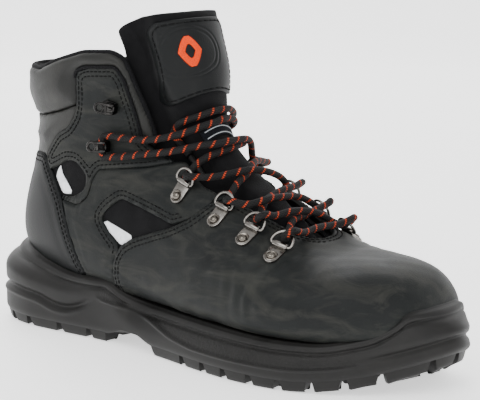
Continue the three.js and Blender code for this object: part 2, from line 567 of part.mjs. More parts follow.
for (const [side, sign] of SIDES) {
  const edges = (station) => {
    const near = (halfOpening(station) + 3) * DEG;
    const far = (halfOpening(station) + 24) * DEG;
    return sign > 0 ? [near, far] : [-far, -near];
  };
  addPiece(`gusset_${side}`, skinSlab({
    from: 4.9,
    to: 9,
    rows: 9,
    columns: 3,
    angles: edges,
    top: () => -LINING_IN - 0.8,
    bottom: () => -LINING_IN - 1.5,
  }), SUEDE);
}

// ---------------------------------------------------------------- rings, clips, rivets and hooks
for (const { name, frame } of ringFrames) {
  addPiece(`ring_clip_${name}`, clipSolid(frame), NICKEL);
  addPiece(`d_ring_${name}`, ringSolid(frame), NICKEL);
  addPiece(`ring_rivet_${name}`, rivetSolid(frame, RIVET_HEAD, RIVET_SHANK, PLATE_BASE + PLATE_THICKNESS + GAP), NICKEL);
}
for (const { name, frame } of hookFrames) {
  addPiece(`speed_hook_${name}`, hookSolid(frame), DARK_CHROME);
}

// ---------------------------------------------------------------- lace
// Middle of the lace, from the end tucked in on the lateral side, through every ring and the
// lower hooks, to the end tucked in on the medial side.
const LACE_ROUTE = [
  [-5.5, -16.5, 105.5], [-12.5, -17, 112], [-14.5, -18.5, 115.5], [-14, -19.5, 117.5], [-11, -20, 121],
  [-7.5, -19, 123.5], [-1.5, -12.5, 126.5], [1.5, -6, 128.5], [2, 3, 129], [0, 9.5, 128.5],
  [-4.5, 17.5, 125.5], [-11, 23.5, 122], [-19, 28, 118], [-27.5, 31.5, 115], [-36.5, 34.5, 113],
  [-45.5, 37, 114], [-47.6, 37.5, 114.1], [-49.6, 37.5, 112.6], [-49.6, 38, 106], [-49.1, 38, 103.8],
  [-47.1, 37.5, 102.8], [-37.5, 35.5, 103.5], [-28, 33, 104.5], [-18.5, 30, 105.5], [-9.5, 26, 107],
  [-1.5, 21.1, 108.5], [5.5, 14.5, 110], [10.5, 6.5, 110.5], [12.5, -2.5, 110], [11, -11.5, 108],
  [7.7, -20.1, 104.9], [4.5, -26, 99.5], [4.4, -27.2, 97.8], [4.4, -29.5, 97.5], [5.7, -31.3, 96.8],
  [7.4, -32.8, 97.4], [10.1, -32.3, 97.5], [16.5, -25.5, 97], [23.5, -19, 98.5], [29.1, -11, 100.2],
  [31.6, -2, 99.6], [32, 7.5, 97], [31.5, 16, 93], [31.4, 20.9, 88.3], [31.4, 23, 87.8],
  [32.8, 25.3, 87.8], [34.4, 26.8, 89], [36.7, 26.2, 90.3], [38.2, 23.6, 90.7], [40, 14.5, 89.5],
  [41.5, 4.5, 89.5], [43, -5, 88], [45.9, -14.5, 86.2], [49.6, -22.2, 82], [51, -25.5, 79.5],
  [52, -28, 79.5], [53.4, -29.7, 80], [55, -30.5, 81.1], [57.1, -29.9, 82.2], [58.1, -27.6, 82.6],
  [58, -21, 81], [60.1, -12, 82.1], [62.2, -2.5, 81.5], [64, 7, 79], [65.9, 15.2, 74.4],
  [68.4, 21.3, 71.5], [69.4, 23.1, 72.4], [70.9, 24.5, 73.4], [72.7, 24.6, 75.3], [74.4, 22.3, 76.1],
  [73.6, 12.9, 74.2], [72, 3.5, 74], [72, -6.5, 74], [73, -16, 73.5], [74.3, -25.1, 75.8],
  [73.8, -27.4, 75.4], [72.1, -28.6, 74.2], [69.9, -27.8, 72.4], [68.9, -25.8, 70.9],
  [65.3, -18.5, 74.8], [61.6, -9.9, 77.9], [58.8, 0, 78], [58, 9.5, 79.5], [58.3, 18.9, 81.2],
  [57.9, 23.8, 82.9], [56.2, 25.7, 81.8], [53.9, 25.4, 80.5], [52.5, 23.5, 79.5], [51.5, 21.5, 79.4],
  [50.5, 13.5, 84], [50, 4.5, 87], [50.5, -5.5, 88], [49.9, -15.2, 88.3], [48.4, -22.2, 87.3],
  [44, -27, 86], [39.1, -30.7, 87.1], [37.1, -31.7, 87.6], [34.7, -31.9, 87.9], [31.7, -28.3, 86.8],
  [31, -24.9, 89.1], [29.3, -17.3, 94.3], [26.9, -8, 97.3], [23.5, 0.5, 101], [19, 9, 102],
  [15, 17.5, 101], [11.6, 26, 99], [10.6, 28.7, 98.6], [8.5, 30, 97.9], [6.3, 29, 97.3],
  [4.9, 27.1, 96.9], [4.4, 24.6, 97.7], [5.9, 21, 103.3], [10, 15.5, 109.5], [12.5, 10, 113],
  [14, 3, 114], [14, -6, 114], [12, -12.5, 113], [5.5, -19.5, 112], [-2, -25, 110], [-11, -28.5, 108],
  [-20.5, -31.5, 106.5], [-30, -34, 105], [-39.5, -36, 103.5], [-46.5, -37.5, 102.9],
  [-49.1, -38, 103.4], [-50.1, -38, 110], [-49.6, -38, 112.1], [-48.1, -37.5, 114.1],
  [-38.5, -35.5, 114], [-29, -33.5, 113.5], [-19.5, -30.5, 114], [-10.5, -27, 116], [-3, -22, 118.5],
  [2.5, -15, 121.5], [5, -6, 123.5], [4.5, 1, 124.5], [2, 10, 123], [-3.5, 17, 120], [-8.5, 20, 117.5],
  [-12.5, 19.5, 115.5], [-13, 18.5, 114], [-11.5, 16.5, 111], [-8, 15.5, 107.5],
].map(([x, y, z]) => new THREE.Vector3(x, y, z));
const LACE_SIDES = 8;

// Round cord with a section at every point of its route.
function cordSolid(route, radius) {
  const points = [];
  const triangles = [];
  const direction = (i) => route[Math.min(i + 1, route.length - 1)].clone().sub(route[Math.max(i - 1, 0)]).normalize();
  let side = new THREE.Vector3(0, 1, 0);
  route.forEach((centre, i) => {
    const along = direction(i);
    side = side.clone().projectOnPlane(along).normalize();
    const other = along.clone().cross(side);
    for (let j = 0; j < LACE_SIDES; j += 1) {
      const angle = (j / LACE_SIDES) * 2 * Math.PI;
      points.push(centre.clone().addScaledVector(side, radius * Math.cos(angle))
        .addScaledVector(other, radius * Math.sin(angle)));
    }
  });
  const at = (i, j) => i * LACE_SIDES + (j % LACE_SIDES);
  for (let i = 0; i < route.length - 1; i += 1) {
    for (let j = 0; j < LACE_SIDES; j += 1) {
      triangles.push([at(i, j), at(i, j + 1), at(i + 1, j + 1)], [at(i, j), at(i + 1, j + 1), at(i + 1, j)]);
    }
  }
  const last = route.length - 1;
  for (let j = 1; j < LACE_SIDES - 1; j += 1) {
    triangles.push([at(0, 0), at(0, j + 1), at(0, j)], [at(last, 0), at(last, j), at(last, j + 1)]);
  }
  return fromGrid(points, triangles);
}

addPiece('lace', cordSolid(LACE_ROUTE, LACE_RADIUS), CORD);

// Stiff tip on the end of the lace, pointing at a place down the throat.
const TIP_LENGTH = 14;
const TIPS = [
  ['lateral', LACE_ROUTE[0], new THREE.Vector3(4.5, -17.5, 96.5)],
  ['medial', LACE_ROUTE.at(-1), new THREE.Vector3(4, 14.5, 97)],
];
for (const [side, end, aim] of TIPS) {
  const along = aim.clone().sub(end).normalize();
  const start = end.clone().addScaledVector(along, GAP + 0.1);
  addPiece(`lace_tip_${side}`, cordSolid([start, start.clone().addScaledVector(along, TIP_LENGTH)], TIP_RADIUS), TIP);
}

export default group;
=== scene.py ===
"""Steel toe work boot, right foot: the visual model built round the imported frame.

Shapes are worked out in millimetres, in the frame of the part, and scaled to metres when a mesh
is made. +X is towards the toe, +Y towards the medial side and +Z up.
"""
import math

import bpy
import numpy as np
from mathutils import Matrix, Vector
from mathutils.kdtree import KDTree


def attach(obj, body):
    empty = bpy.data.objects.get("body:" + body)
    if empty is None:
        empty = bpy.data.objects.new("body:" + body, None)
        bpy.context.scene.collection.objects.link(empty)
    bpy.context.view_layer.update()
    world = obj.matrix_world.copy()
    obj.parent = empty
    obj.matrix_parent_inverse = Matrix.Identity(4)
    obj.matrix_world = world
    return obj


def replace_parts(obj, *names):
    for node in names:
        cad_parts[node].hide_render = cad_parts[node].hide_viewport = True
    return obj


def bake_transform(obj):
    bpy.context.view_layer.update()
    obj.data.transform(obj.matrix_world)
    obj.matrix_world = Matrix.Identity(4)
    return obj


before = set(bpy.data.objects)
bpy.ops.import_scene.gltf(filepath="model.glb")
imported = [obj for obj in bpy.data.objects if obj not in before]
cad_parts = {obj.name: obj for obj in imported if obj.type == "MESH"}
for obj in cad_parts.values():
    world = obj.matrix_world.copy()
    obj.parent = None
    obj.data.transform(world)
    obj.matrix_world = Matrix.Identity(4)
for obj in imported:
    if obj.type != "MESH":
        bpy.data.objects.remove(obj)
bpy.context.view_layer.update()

MM = 0.001
DEG = math.pi / 180
LEATHER = 1.8                # thickness of the outer leather panels
LINING_OUT = 4.3             # outer and inner face of the lining, under the outside of the boot
LINING_IN = 6.0
TONGUE_EDGE = -8.1           # outer face of the tongue where it runs under the eyestay
TONGUE_THICKNESS = 5.5
LACE_RADIUS = 1.9
LACE_STEP = 0.6
SIDES = (("lateral", -1), ("medial", 1))
STITCH_ROWS = (2.2, 4.6)     # depth of the rows of stitches inside the edge of a panel
PANEL_CORNER = 2.5
BACKING_FACES = (2.1, 2.9)   # outer and inner face of the window backings
CAMERA_TURN = 42 * DEG
CAMERA_RISE = 9.5 * DEG
CAMERA_LENS = 139.5
CAMERA_SHIFT = 0.045833
CAMERA_AIM = 0.080           # height that the camera looks at, in metres


# ---------------------------------------------------------------- camera and light
def add_camera():
    across = math.cos(CAMERA_RISE)
    back = Vector((math.sin(CAMERA_TURN) * across, -math.cos(CAMERA_TURN) * across, math.sin(CAMERA_RISE)))
    data = bpy.data.cameras.new("camera")
    data.lens = CAMERA_LENS
    data.sensor_width = 36
    data.shift_x = CAMERA_SHIFT
    camera = bpy.data.objects.new("camera", data)
    camera.location = Vector((0, 0, CAMERA_AIM)) + back
    camera.rotation_euler = back.to_track_quat("Z", "Y").to_euler()
    bpy.context.scene.collection.objects.link(camera)
    bpy.context.scene.camera = camera


def add_light(name, place, size, power, target=(0, 0, 0.07)):
    data = bpy.data.lights.new(name, "AREA")
    data.size = size
    data.energy = power
    light = bpy.data.objects.new(name, data)
    light.location = place
    light.rotation_euler = (Vector(place) - Vector(target)).to_track_quat("Z", "Y").to_euler()
    bpy.context.scene.collection.objects.link(light)


# ---------------------------------------------------------------- materials
class Nodes:
    """A material's node tree with short calls for the nodes that these materials share."""

    def __init__(self, name):
        self.material = bpy.data.materials.new(name)
        self.material.use_nodes = True
        self.tree = self.material.node_tree
        self.shader = self.tree.nodes["Principled BSDF"]
        self.coordinates = self.tree.nodes.new("ShaderNodeTexCoord").outputs["Object"]

    def link(self, start, end):
        self.tree.links.new(start, end)

    def add(self, kind, inputs=None, **settings):
        node = self.tree.nodes.new(kind)
        for key, value in settings.items():
            setattr(node, key, value)
        for key, value in (inputs or {}).items():
            if isinstance(value, bpy.types.NodeSocket):
                self.link(value, node.inputs[key])
            else:
                node.inputs[key].default_value = value
        return node

    def scaled(self, stretch):
        return self.add("ShaderNodeMapping", {"Vector": self.coordinates, "Scale": stretch}).outputs["Vector"]

    def noise(self, size_mm, detail=4.0, rough=0.55, stretch=None, warp=0.0):
        vector = self.scaled(stretch) if stretch else self.coordinates
        node = self.add("ShaderNodeTexNoise", {"Vector": vector, "Scale": 1000 / size_mm, "Detail": detail,
                                               "Roughness": rough, "Distortion": warp})
        return node.outputs["Fac"]

    def cells(self, size_mm, stretch=None):
        vector = self.scaled(stretch) if stretch else self.coordinates
        node = self.add("ShaderNodeTexVoronoi", {"Vector": vector, "Scale": 1000 / size_mm})
        return node.outputs["Distance"]

    def ramp(self, value, stops):
        node = self.add("ShaderNodeValToRGB", {"Fac": value})
        elements = node.color_ramp.elements
        while len(elements) < len(stops):
            elements.new(0.5)
        for element, (place, color) in zip(elements, stops):
            element.position = place
            element.color = (*color, 1) if len(color) == 3 else color
        return node.outputs["Color"]

    def mix(self, factor, first, second):
        node = self.add("ShaderNodeMix", data_type="RGBA")
        for socket, value in ((node.inputs[0], factor), (node.inputs[6], first), (node.inputs[7], second)):
            if isinstance(value, bpy.types.NodeSocket):
                self.link(value, socket)
            else:
                socket.default_value = value if isinstance(value, (int, float)) else (*value, 1)
        return node.outputs[2]

    def math(self, operation, first, second=0.0):
        node = self.add("ShaderNodeMath", {0: first, 1: second}, operation=operation)
        return node.outputs["Value"]

    def span(self, value, low, high):
        node = self.add("ShaderNodeMapRange", {"Value": value, "To Min": low, "To Max": high})
        return node.outputs["Result"]

    def bump(self, heights):
        """Bumps of several heights in millimetres, one after another."""
        normal = None
        for value, height_mm, strength in heights:
            inputs = {"Height": value, "Distance": height_mm * MM, "Strength": strength}
            if normal:
                inputs["Normal"] = normal
            normal = self.add("ShaderNodeBump", inputs).outputs["Normal"]
        self.link(normal, self.shader.inputs["Normal"])

    def finish(self, color, rough, **constants):
        self.link(color, self.shader.inputs["Base Color"])
        if isinstance(rough, bpy.types.NodeSocket):
            self.link(rough, self.shader.inputs["Roughness"])
        else:
            self.shader.inputs["Roughness"].default_value = rough
        for key, value in constants.items():
            self.shader.inputs[key.replace("_", " ")].default_value = value
        return self.material


def nubuck():
    m = Nodes("nubuck")
    patches = m.noise(38, 5, 0.6, warp=0.6)
    streak_noise = m.noise(16, 5, 0.65, stretch=(0.5, 1.0, 1.6), warp=1.2)
    nap = m.noise(0.5, 3, 0.7)
    grain = m.cells(0.85)
    base = m.ramp(patches, [(0.32, (0.0010, 0.0019, 0.0020)), (0.52, (0.0026, 0.0040, 0.0038)),
                            (0.70, (0.0110, 0.0122, 0.0105))])
    # The lighter brownish-grey streaks mixed into the colour here are a painted highlight.
    highlight_streaks = m.ramp(streak_noise, [(0.46, (0, 0, 0)), (0.70, (0.85, 0.85, 0.85))])
    color = m.mix(highlight_streaks, base, (0.030, 0.030, 0.025))
    color = m.mix(m.span(nap, 0.0, 0.55), color, (0.0035, 0.0045, 0.0045))
    m.bump([(grain, 0.10, 0.35), (nap, 0.12, 0.5), (streak_noise, 0.5, 0.25)])
    return m.finish(color, m.span(streak_noise, 0.46, 0.70), Specular_IOR_Level=0.20, Sheen_Weight=0.02,
                    Sheen_Roughness=0.4)


def smooth_leather():
    m = Nodes("smooth_leather")
    patches = m.noise(30, 4, 0.55, warp=0.4)
    grain = m.cells(0.7)
    crease = m.noise(7, 4, 0.6, warp=1.5)
    color = m.ramp(patches, [(0.30, (0.0065, 0.0068, 0.0062)), (0.62, (0.0125, 0.0125, 0.0108)),
                             (0.85, (0.0240, 0.0225, 0.0190))])
    m.bump([(grain, 0.12, 0.45), (crease, 0.4, 0.2)])
    return m.finish(color, m.span(crease, 0.42, 0.60), Specular_IOR_Level=0.24)


def heel_leather():
    m = Nodes("heel_leather")
    patches = m.noise(26, 5, 0.6, warp=0.5)
    grain = m.cells(0.75)
    color = m.ramp(patches, [(0.30, (0.0012, 0.0018, 0.0021)), (0.60, (0.0036, 0.0042, 0.0044)),
                             (0.85, (0.0120, 0.0115, 0.0105))])
    m.bump([(grain, 0.12, 0.45), (patches, 0.5, 0.15)])
    return m.finish(color, m.span(patches, 0.44, 0.60), Specular_IOR_Level=0.18)


def suede():
    m = Nodes("suede")
    nap = m.noise(0.45, 4, 0.75)
    brushed = m.noise(9, 4, 0.6, warp=1.5)
    color = m.ramp(brushed, [(0.3, (0.0018, 0.0018, 0.0022)), (0.7, (0.0045, 0.0044, 0.0050))])
    color = m.mix(m.span(nap, 0.0, 0.6), color, (0.0075, 0.0075, 0.0080))
    m.bump([(nap, 0.25, 0.7), (brushed, 0.5, 0.2)])
    return m.finish(color, 0.92, Specular_IOR_Level=0.1, Sheen_Weight=0.04, Sheen_Roughness=0.5)


def knit(name, low, high, pitch=1.1):
    m = Nodes(name)
    weave = m.cells(pitch, stretch=(1.0, 1.0, 0.7))
    nap = m.noise(0.4, 3, 0.7)
    color = m.ramp(weave, [(0.15, high), (0.7, low)])
    m.bump([(weave, 0.35, 0.8), (nap, 0.12, 0.5)])
    return m.finish(color, 0.9, Specular_IOR_Level=0.15)


def reflective():
    m = Nodes("reflective")
    beads = m.cells(0.35)
    scuffs = m.noise(6, 5, 0.7, warp=0.8)
    color = m.ramp(scuffs, [(0.25, (0.60, 0.63, 0.66)), (0.6, (0.86, 0.88, 0.90))])
    m.bump([(beads, 0.06, 0.5)])
    return m.finish(color, m.span(scuffs, 0.25, 0.45))


def rubber(name, low=(0.0030, 0.0029, 0.0027), high=(0.0098, 0.0093, 0.0086), pebble=0.0):
    m = Nodes(name)
    dust = m.noise(22, 6, 0.65, warp=0.7)
    fine = m.noise(0.6, 3, 0.6)
    color = m.ramp(dust, [(0.3, low), (0.72, high)])
    heights = [(fine, 0.10, 0.45)]
    if pebble:
        heights.append((m.noise(1.5, 3, 0.6, warp=0.8), pebble, 1.0))
    m.bump(heights)
    return m.finish(color, m.span(dust, 0.44, 0.62), Specular_IOR_Level=0.25)


def metal(name, low, high, rough_low, rough_high, brushed=0.0):
    m = Nodes(name)
    haze = m.noise(5, 5, 0.65, warp=0.5)
    scratches = m.noise(0.8, 3, 0.6, stretch=(0.12, 1.0, 1.0))
    color = m.ramp(haze, [(0.3, low), (0.7, high)])
    m.bump([(scratches, 0.02 + brushed, 0.25)])
    return m.finish(color, m.span(haze, rough_low, rough_high), Metallic=1.0)


def board():
    m = Nodes("board")
    fibres = m.noise(1.5, 5, 0.7, stretch=(0.3, 1.0, 1.0))
    color = m.ramp(fibres, [(0.3, (0.30, 0.22, 0.13)), (0.7, (0.46, 0.36, 0.24))])
    m.bump([(fibres, 0.15, 0.5)])
    return m.finish(color, 0.9)


def thread(name, low, high):
    m = Nodes(name)
    twist = m.noise(0.35, 2, 0.5)
    color = m.ramp(twist, [(0.3, low), (0.7, high)])
    m.bump([(twist, 0.08, 0.6)])
    return m.finish(color, 0.8, Specular_IOR_Level=0.1)


MATERIALS = {
    "nubuck": nubuck(),
    "smooth_leather": smooth_leather(),
    "heel_leather": heel_leather(),
    "suede": suede(),
    "lining": knit("lining", (0.005, 0.005, 0.0055), (0.014, 0.014, 0.015), 1.4),
    "label": knit("label", (0.004, 0.005, 0.007), (0.012, 0.014, 0.018), 0.5),
    "piping": knit("piping", (0.002, 0.002, 0.0025), (0.007, 0.007, 0.008), 0.6),
    "reflective": reflective(),
    "rubber": rubber("rubber"),
    "rubber_pebbled": rubber("rubber_pebbled", pebble=0.5),
    "nickel": metal("nickel", (0.115, 0.108, 0.100), (0.27, 0.255, 0.235), 0.16, 0.30),
    "dark_chrome": metal("dark_chrome", (0.010, 0.010, 0.010), (0.045, 0.043, 0.041), 0.12, 0.26),
    "rivet": metal("rivet", (0.07, 0.064, 0.055), (0.20, 0.18, 0.155), 0.14, 0.26),
    "steel": metal("steel", (0.32, 0.33, 0.34), (0.48, 0.49, 0.50), 0.3, 0.45, 0.05),
    "board": board(),
    "thread": thread("thread", (0.003, 0.003, 0.003), (0.009, 0.009, 0.009)),
    "orange_thread": thread("orange_thread", (0.62, 0.035, 0.003), (0.90, 0.075, 0.006)),
    "grey_thread": thread("grey_thread", (0.35, 0.38, 0.40), (0.62, 0.65, 0.68)),
}


# ---------------------------------------------------------------- meshes
def new_piece(name, points, faces, material, body="boot", slot=None):
    """Smooth-shaded piece from points in millimetres, with one of the MATERIALS by name."""
    mesh = bpy.data.meshes.new(name)
    mesh.from_pydata((np.asarray(points, float) * MM).tolist(), [], [list(map(int, f)) for f in faces])
    mesh.materials.append(MATERIALS[material])
    mesh.polygons.foreach_set("use_smooth", np.full(len(mesh.polygons), True))
    mesh.update()
    piece = bpy.data.objects.new(name, mesh)
    bpy.context.scene.collection.objects.link(piece)
    if body:
        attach(piece, body)
    return piece


def sharpen(piece, degrees):
    """Shades faces that meet at a sharper angle than this as an edge."""
    piece.data.set_sharp_from_angle(angle=degrees * DEG)
    return piece


def merged(parts):
    """One list of points and one of faces from several (points, faces) pairs."""
    points, faces, count = [], [], 0
    for part_points, part_faces in parts:
        points.append(np.asarray(part_points, float))
        faces.extend([[i + count for i in face] for face in part_faces])
        count += len(part_points)
    return np.concatenate(points), faces


def wrapped(rows, columns, ends=True, close=False):
    """Faces round a tube of rows of points, open or capped at its ends, or closed on itself."""
    def at(i, j):
        return (i % rows) * columns + j % columns
    faces = [[at(i, j), at(i, j + 1), at(i + 1, j + 1), at(i + 1, j)]
             for i in range(rows if close else rows - 1) for j in range(columns)]
    if ends and not close:
        faces.append([at(0, j) for j in reversed(range(columns))])
        faces.append([at(rows - 1, j) for j in range(columns)])
    return faces


def sheet_faces(top, rim, count):
    """Faces of a closed sheet: the top, the same faces turned over for the bottom, then the rim.
    The bottom's points follow the top's, count further on. Each row of rim is an edge of the top."""
    walls = [[b, a, a + count, b + count] for a, b in np.asarray(rim).tolist()]
    return top.tolist() + (top[:, ::-1] + count).tolist() + walls


def grid_quads(rows, columns):
    index = np.arange(rows * columns).reshape(rows, columns)
    corners = (index[:-1, :-1], index[:-1, 1:], index[1:, 1:], index[1:, :-1])
    return index, np.stack(corners, -1).reshape(-1, 4)


def unit(vectors):
    return vectors / np.maximum(np.linalg.norm(vectors, axis=-1, keepdims=True), 1e-9)


def ease(value, low, high):
    share = np.clip((value - low) / (high - low), 0, 1)
    return share * share * (3 - 2 * share)


# ---------------------------------------------------------------- skin of the boot
# Cross sections of the outside of the upper, from the toe back over the instep and up the shaft.
SECTIONS = np.array([
    # ridge x, z    base x, z   half width: lateral, medial   centre y   waist   squareness
    [141.5, 34.0, 141.5, 31.0, 3.0, 3.0, 6.0, 0.40, 2.00, 2.2],
    [138.5, 46.5, 138.0, 25.0, 21.0, 20.0, 6.0, 0.40, 2.10, 2.4],
    [129.0, 57.0, 128.0, 22.0, 35.5, 33.0, 5.0, 0.38, 2.30, 2.6],
    [112.0, 62.0, 111.0, 21.0, 45.0, 41.0, 3.0, 0.36, 2.40, 2.8],
    [90.0, 65.0, 88.0, 20.0, 50.0, 45.5, 1.0, 0.34, 2.30, 2.8],
    [67.0, 73.0, 62.0, 20.0, 50.0, 46.5, -1.0, 0.30, 2.10, 2.8],
    [45.0, 86.0, 34.0, 20.0, 46.0, 44.5, -2.0, 0.28, 2.00, 2.8],
    [25.0, 99.0, 2.0, 21.0, 42.0, 41.0, -2.0, 0.26, 1.90, 2.7],
    [9.0, 113.0, -34.0, 22.0, 38.5, 38.0, -1.0, 0.26, 1.90, 2.6],
    [0.0, 125.0, -84.0, 24.0, 38.0, 38.0, 0.0, 0.30, 1.95, 2.4],
    [-4.0, 134.0, -126.0, 42.0, 37.0, 37.0, 0.0, 0.40, 2.00, 2.2],
    [-6.0, 143.0, -133.0, 75.0, 36.0, 36.0, 0.0, 0.48, 2.10, 2.1],
    [-8.0, 152.0, -128.0, 104.0, 36.0, 36.0, 0.0, 0.52, 2.20, 2.1],
    [-12.0, 163.0, -129.0, 130.0, 37.5, 37.5, 0.0, 0.52, 2.20, 2.2],
    [-16.0, 174.0, -134.0, 150.0, 39.0, 39.0, 0.0, 0.52, 2.20, 2.2],
    [-20.0, 185.0, -139.0, 170.0, 41.0, 41.0, 0.0, 0.52, 2.20, 2.2],
])
LAST_SECTION = len(SECTIONS) - 1
HEEL_BULGE = np.array([[reach] for reach in (0, 0, 0, 0, 0, 0, 0, 0, 0, 13, 13, 3, 0, 0, 0, 0)], float)


def natural_spline(rows):
    """Natural cubic spline through rows of numbers that stand one unit apart."""
    count = len(rows)
    matrix = np.eye(count)
    turn = np.zeros_like(rows)
    for i in range(1, count - 1):
        matrix[i, i - 1:i + 2] = 1, 4, 1
        turn[i] = 6 * (rows[i + 1] - 2 * rows[i] + rows[i - 1])
    bend = np.linalg.solve(matrix, turn)

    def at(place):
        place = np.asarray(place, float)
        i = np.clip(np.floor(place).astype(int), 0, count - 2)
        b = (place - i)[..., None]
        a = 1 - b
        return a * rows[i] + b * rows[i + 1] + ((a ** 3 - a) * bend[i] + (b ** 3 - b) * bend[i + 1]) / 6
    return at


section_at = natural_spline(SECTIONS)
bulge_at = natural_spline(HEEL_BULGE)


def skin(station, angle):
    """Points of the skin at stations (0 toe to 15 top) and angles (0 ridge, positive medial)."""
    station, angle = np.broadcast_arrays(np.asarray(station, float), np.asarray(angle, float))
    ridge_x, ridge_z, base_x, base_z, lateral, medial, centre, waist, over, under = np.moveaxis(
        section_at(station), -1, 0)
    c, s = np.cos(angle), np.sin(angle)
    power = 2 / np.where(c >= 0, over, under)
    share = waist + np.where(c >= 0, 1 - waist, -waist) * np.abs(c) ** power
    side = np.sign(s) * np.where(s >= 0, medial, lateral) * np.abs(s) ** power
    bulge = bulge_at(station)[..., 0] * np.minimum(c, 0) ** 2
    return np.stack([base_x + (ridge_x - base_x) * share - bulge, centre + side,
                     base_z + (ridge_z - base_z) * share], -1)


def skin_normal(station, angle):
    step = 0.04
    station = np.clip(station, step, LAST_SECTION - step)
    along = skin(station + step, angle) - skin(station - step, angle)
    across = skin(station, angle + step) - skin(station, angle - step)
    return unit(np.cross(across, along))


def on_skin(station, angle, height):
    return skin(station, angle) + skin_normal(station, angle) * np.asarray(height)[..., None]


# ---------------------------------------------------------------- outlines
def rounded(corners, radius=3.0, step=1.0, closed=True):
    """Line through corners, with each corner rounded and a point about every step."""
    corners = np.asarray(corners, float)
    count = len(corners)
    line = []
    for i in range(count):
        if not closed and i in (0, count - 1):
            line.append(corners[i])
            continue
        before, here, after = corners[i - 1], corners[i], corners[(i + 1) % count]
        reach = min(radius, 0.45 * np.linalg.norm(before - here), 0.45 * np.linalg.norm(after - here))
        start = here + unit(before - here) * reach
        end = here + unit(after - here) * reach
        for share in np.linspace(0, 1, 5):
            line.append((1 - share) ** 2 * start + 2 * share * (1 - share) * here + share ** 2 * end)
    if closed:
        line.append(line[0])
    return respaced(np.array(line), step)


def respaced(line, step):
    lengths = np.linalg.norm(np.diff(line, axis=0), axis=1)
    places = np.concatenate([[0], np.cumsum(lengths)])
    count = max(2, int(round(places[-1] / step)) + 1)
    wanted = np.linspace(0, places[-1], count)
    return np.stack([np.interp(wanted, places, line[:, k]) for k in range(line.shape[1])], -1)


def inside_distance(points, outline, normals, axes):
    """Distance over the surface from an outline seen along the third axis, positive inside it."""
    flat = points[..., axes].reshape(-1, 2)
    slope = normals[..., axes].reshape(-1, 2)
    best = np.full(len(flat), np.inf)
    away = np.zeros_like(flat)
    inside = np.zeros(len(flat), bool)
    for start, end in zip(outline[:-1], outline[1:]):
        edge = end - start
        share = np.clip((flat - start) @ edge / max(edge @ edge, 1e-12), 0, 1)
        offset = flat - (start + share[:, None] * edge)
        distance = np.hypot(offset[:, 0], offset[:, 1])
        nearer = distance < best
        best = np.where(nearer, distance, best)
        away = np.where(nearer[:, None], offset, away)
        crosses = (start[1] > flat[:, 1]) != (end[1] > flat[:, 1])
        if crosses.any():
            at = start[0] + (flat[:, 1] - start[1]) * edge[0] / (edge[1] if edge[1] else 1e-12)
            inside ^= crosses & (flat[:, 0] < at)
    lean = (unit(away) * slope).sum(1)
    stretch = np.sqrt(np.clip(1 - lean ** 2, 0.05, 1))
    return (np.where(inside, best, -best) / stretch).reshape(points.shape[:-1])


SIDE_VIEW = [0, 2]
PLAN_VIEW = [0, 1]


def clipped(field, around):
    """Triangles of a grid, cut where the field falls below zero.
    Gives the two corners and the share between them that make each vertex, and the triangles."""
    rows, columns = field.shape
    index = np.arange(rows * columns).reshape(rows, columns)
    if around:
        index[:, -1] = index[:, 0]
    a, b, c, d = index[:-1, :-1], index[:-1, 1:], index[1:, 1:], index[1:, :-1]
    triangles = np.concatenate([np.stack([a, b, c], -1).reshape(-1, 3),
                                np.stack([a, c, d], -1).reshape(-1, 3)])
    value = field.ravel()
    corners = (value >= 0)[triangles]
    whole = triangles[corners.all(1)]
    mixed = triangles[corners.any(1) & ~corners.all(1)]
    positive = (value >= 0)[mixed]
    lone = positive.sum(1) == 1
    odd = np.where(lone, positive.argmax(1), (~positive).argmax(1))
    mixed = np.take_along_axis(mixed, (odd[:, None] + np.arange(3)) % 3, 1)
    size = rows * columns
    pairs = np.concatenate([mixed[:, [0, 1]], mixed[:, [0, 2]]])
    unique, place = np.unique(pairs.min(1) * size + pairs.max(1), return_inverse=True)
    low, high = unique // size, unique % size
    share = value[low] / (value[low] - value[high])
    first = place[:len(mixed)] + size
    second = place[len(mixed):] + size
    tip = np.stack([mixed[:, 0], first, second], -1)[lone]
    wide = ~lone
    rest = np.concatenate([np.stack([first[wide], mixed[wide, 1], mixed[wide, 2]], -1),
                           np.stack([first[wide], mixed[wide, 2], second[wide]], -1)])
    used, triangles = np.unique(np.concatenate([whole, tip, rest]), return_inverse=True)
    first_corner = np.concatenate([np.arange(size), low])[used]
    second_corner = np.concatenate([np.arange(size), high])[used]
    shares = np.concatenate([np.zeros(size), share])[used]
    return first_corner, second_corner, shares, triangles.reshape(-1, 3)


def boundary_edges(triangles):
    """Directed edges that only one triangle has."""
    edges = np.concatenate([triangles[:, [0, 1]], triangles[:, [1, 2]], triangles[:, [2, 0]]])
    keys = edges.min(1).astype(np.int64) * (triangles.max() + 1) + edges.max(1)
    _, inverse, counts = np.unique(keys, return_inverse=True, return_counts=True)
    return edges[counts[inverse] == 1]


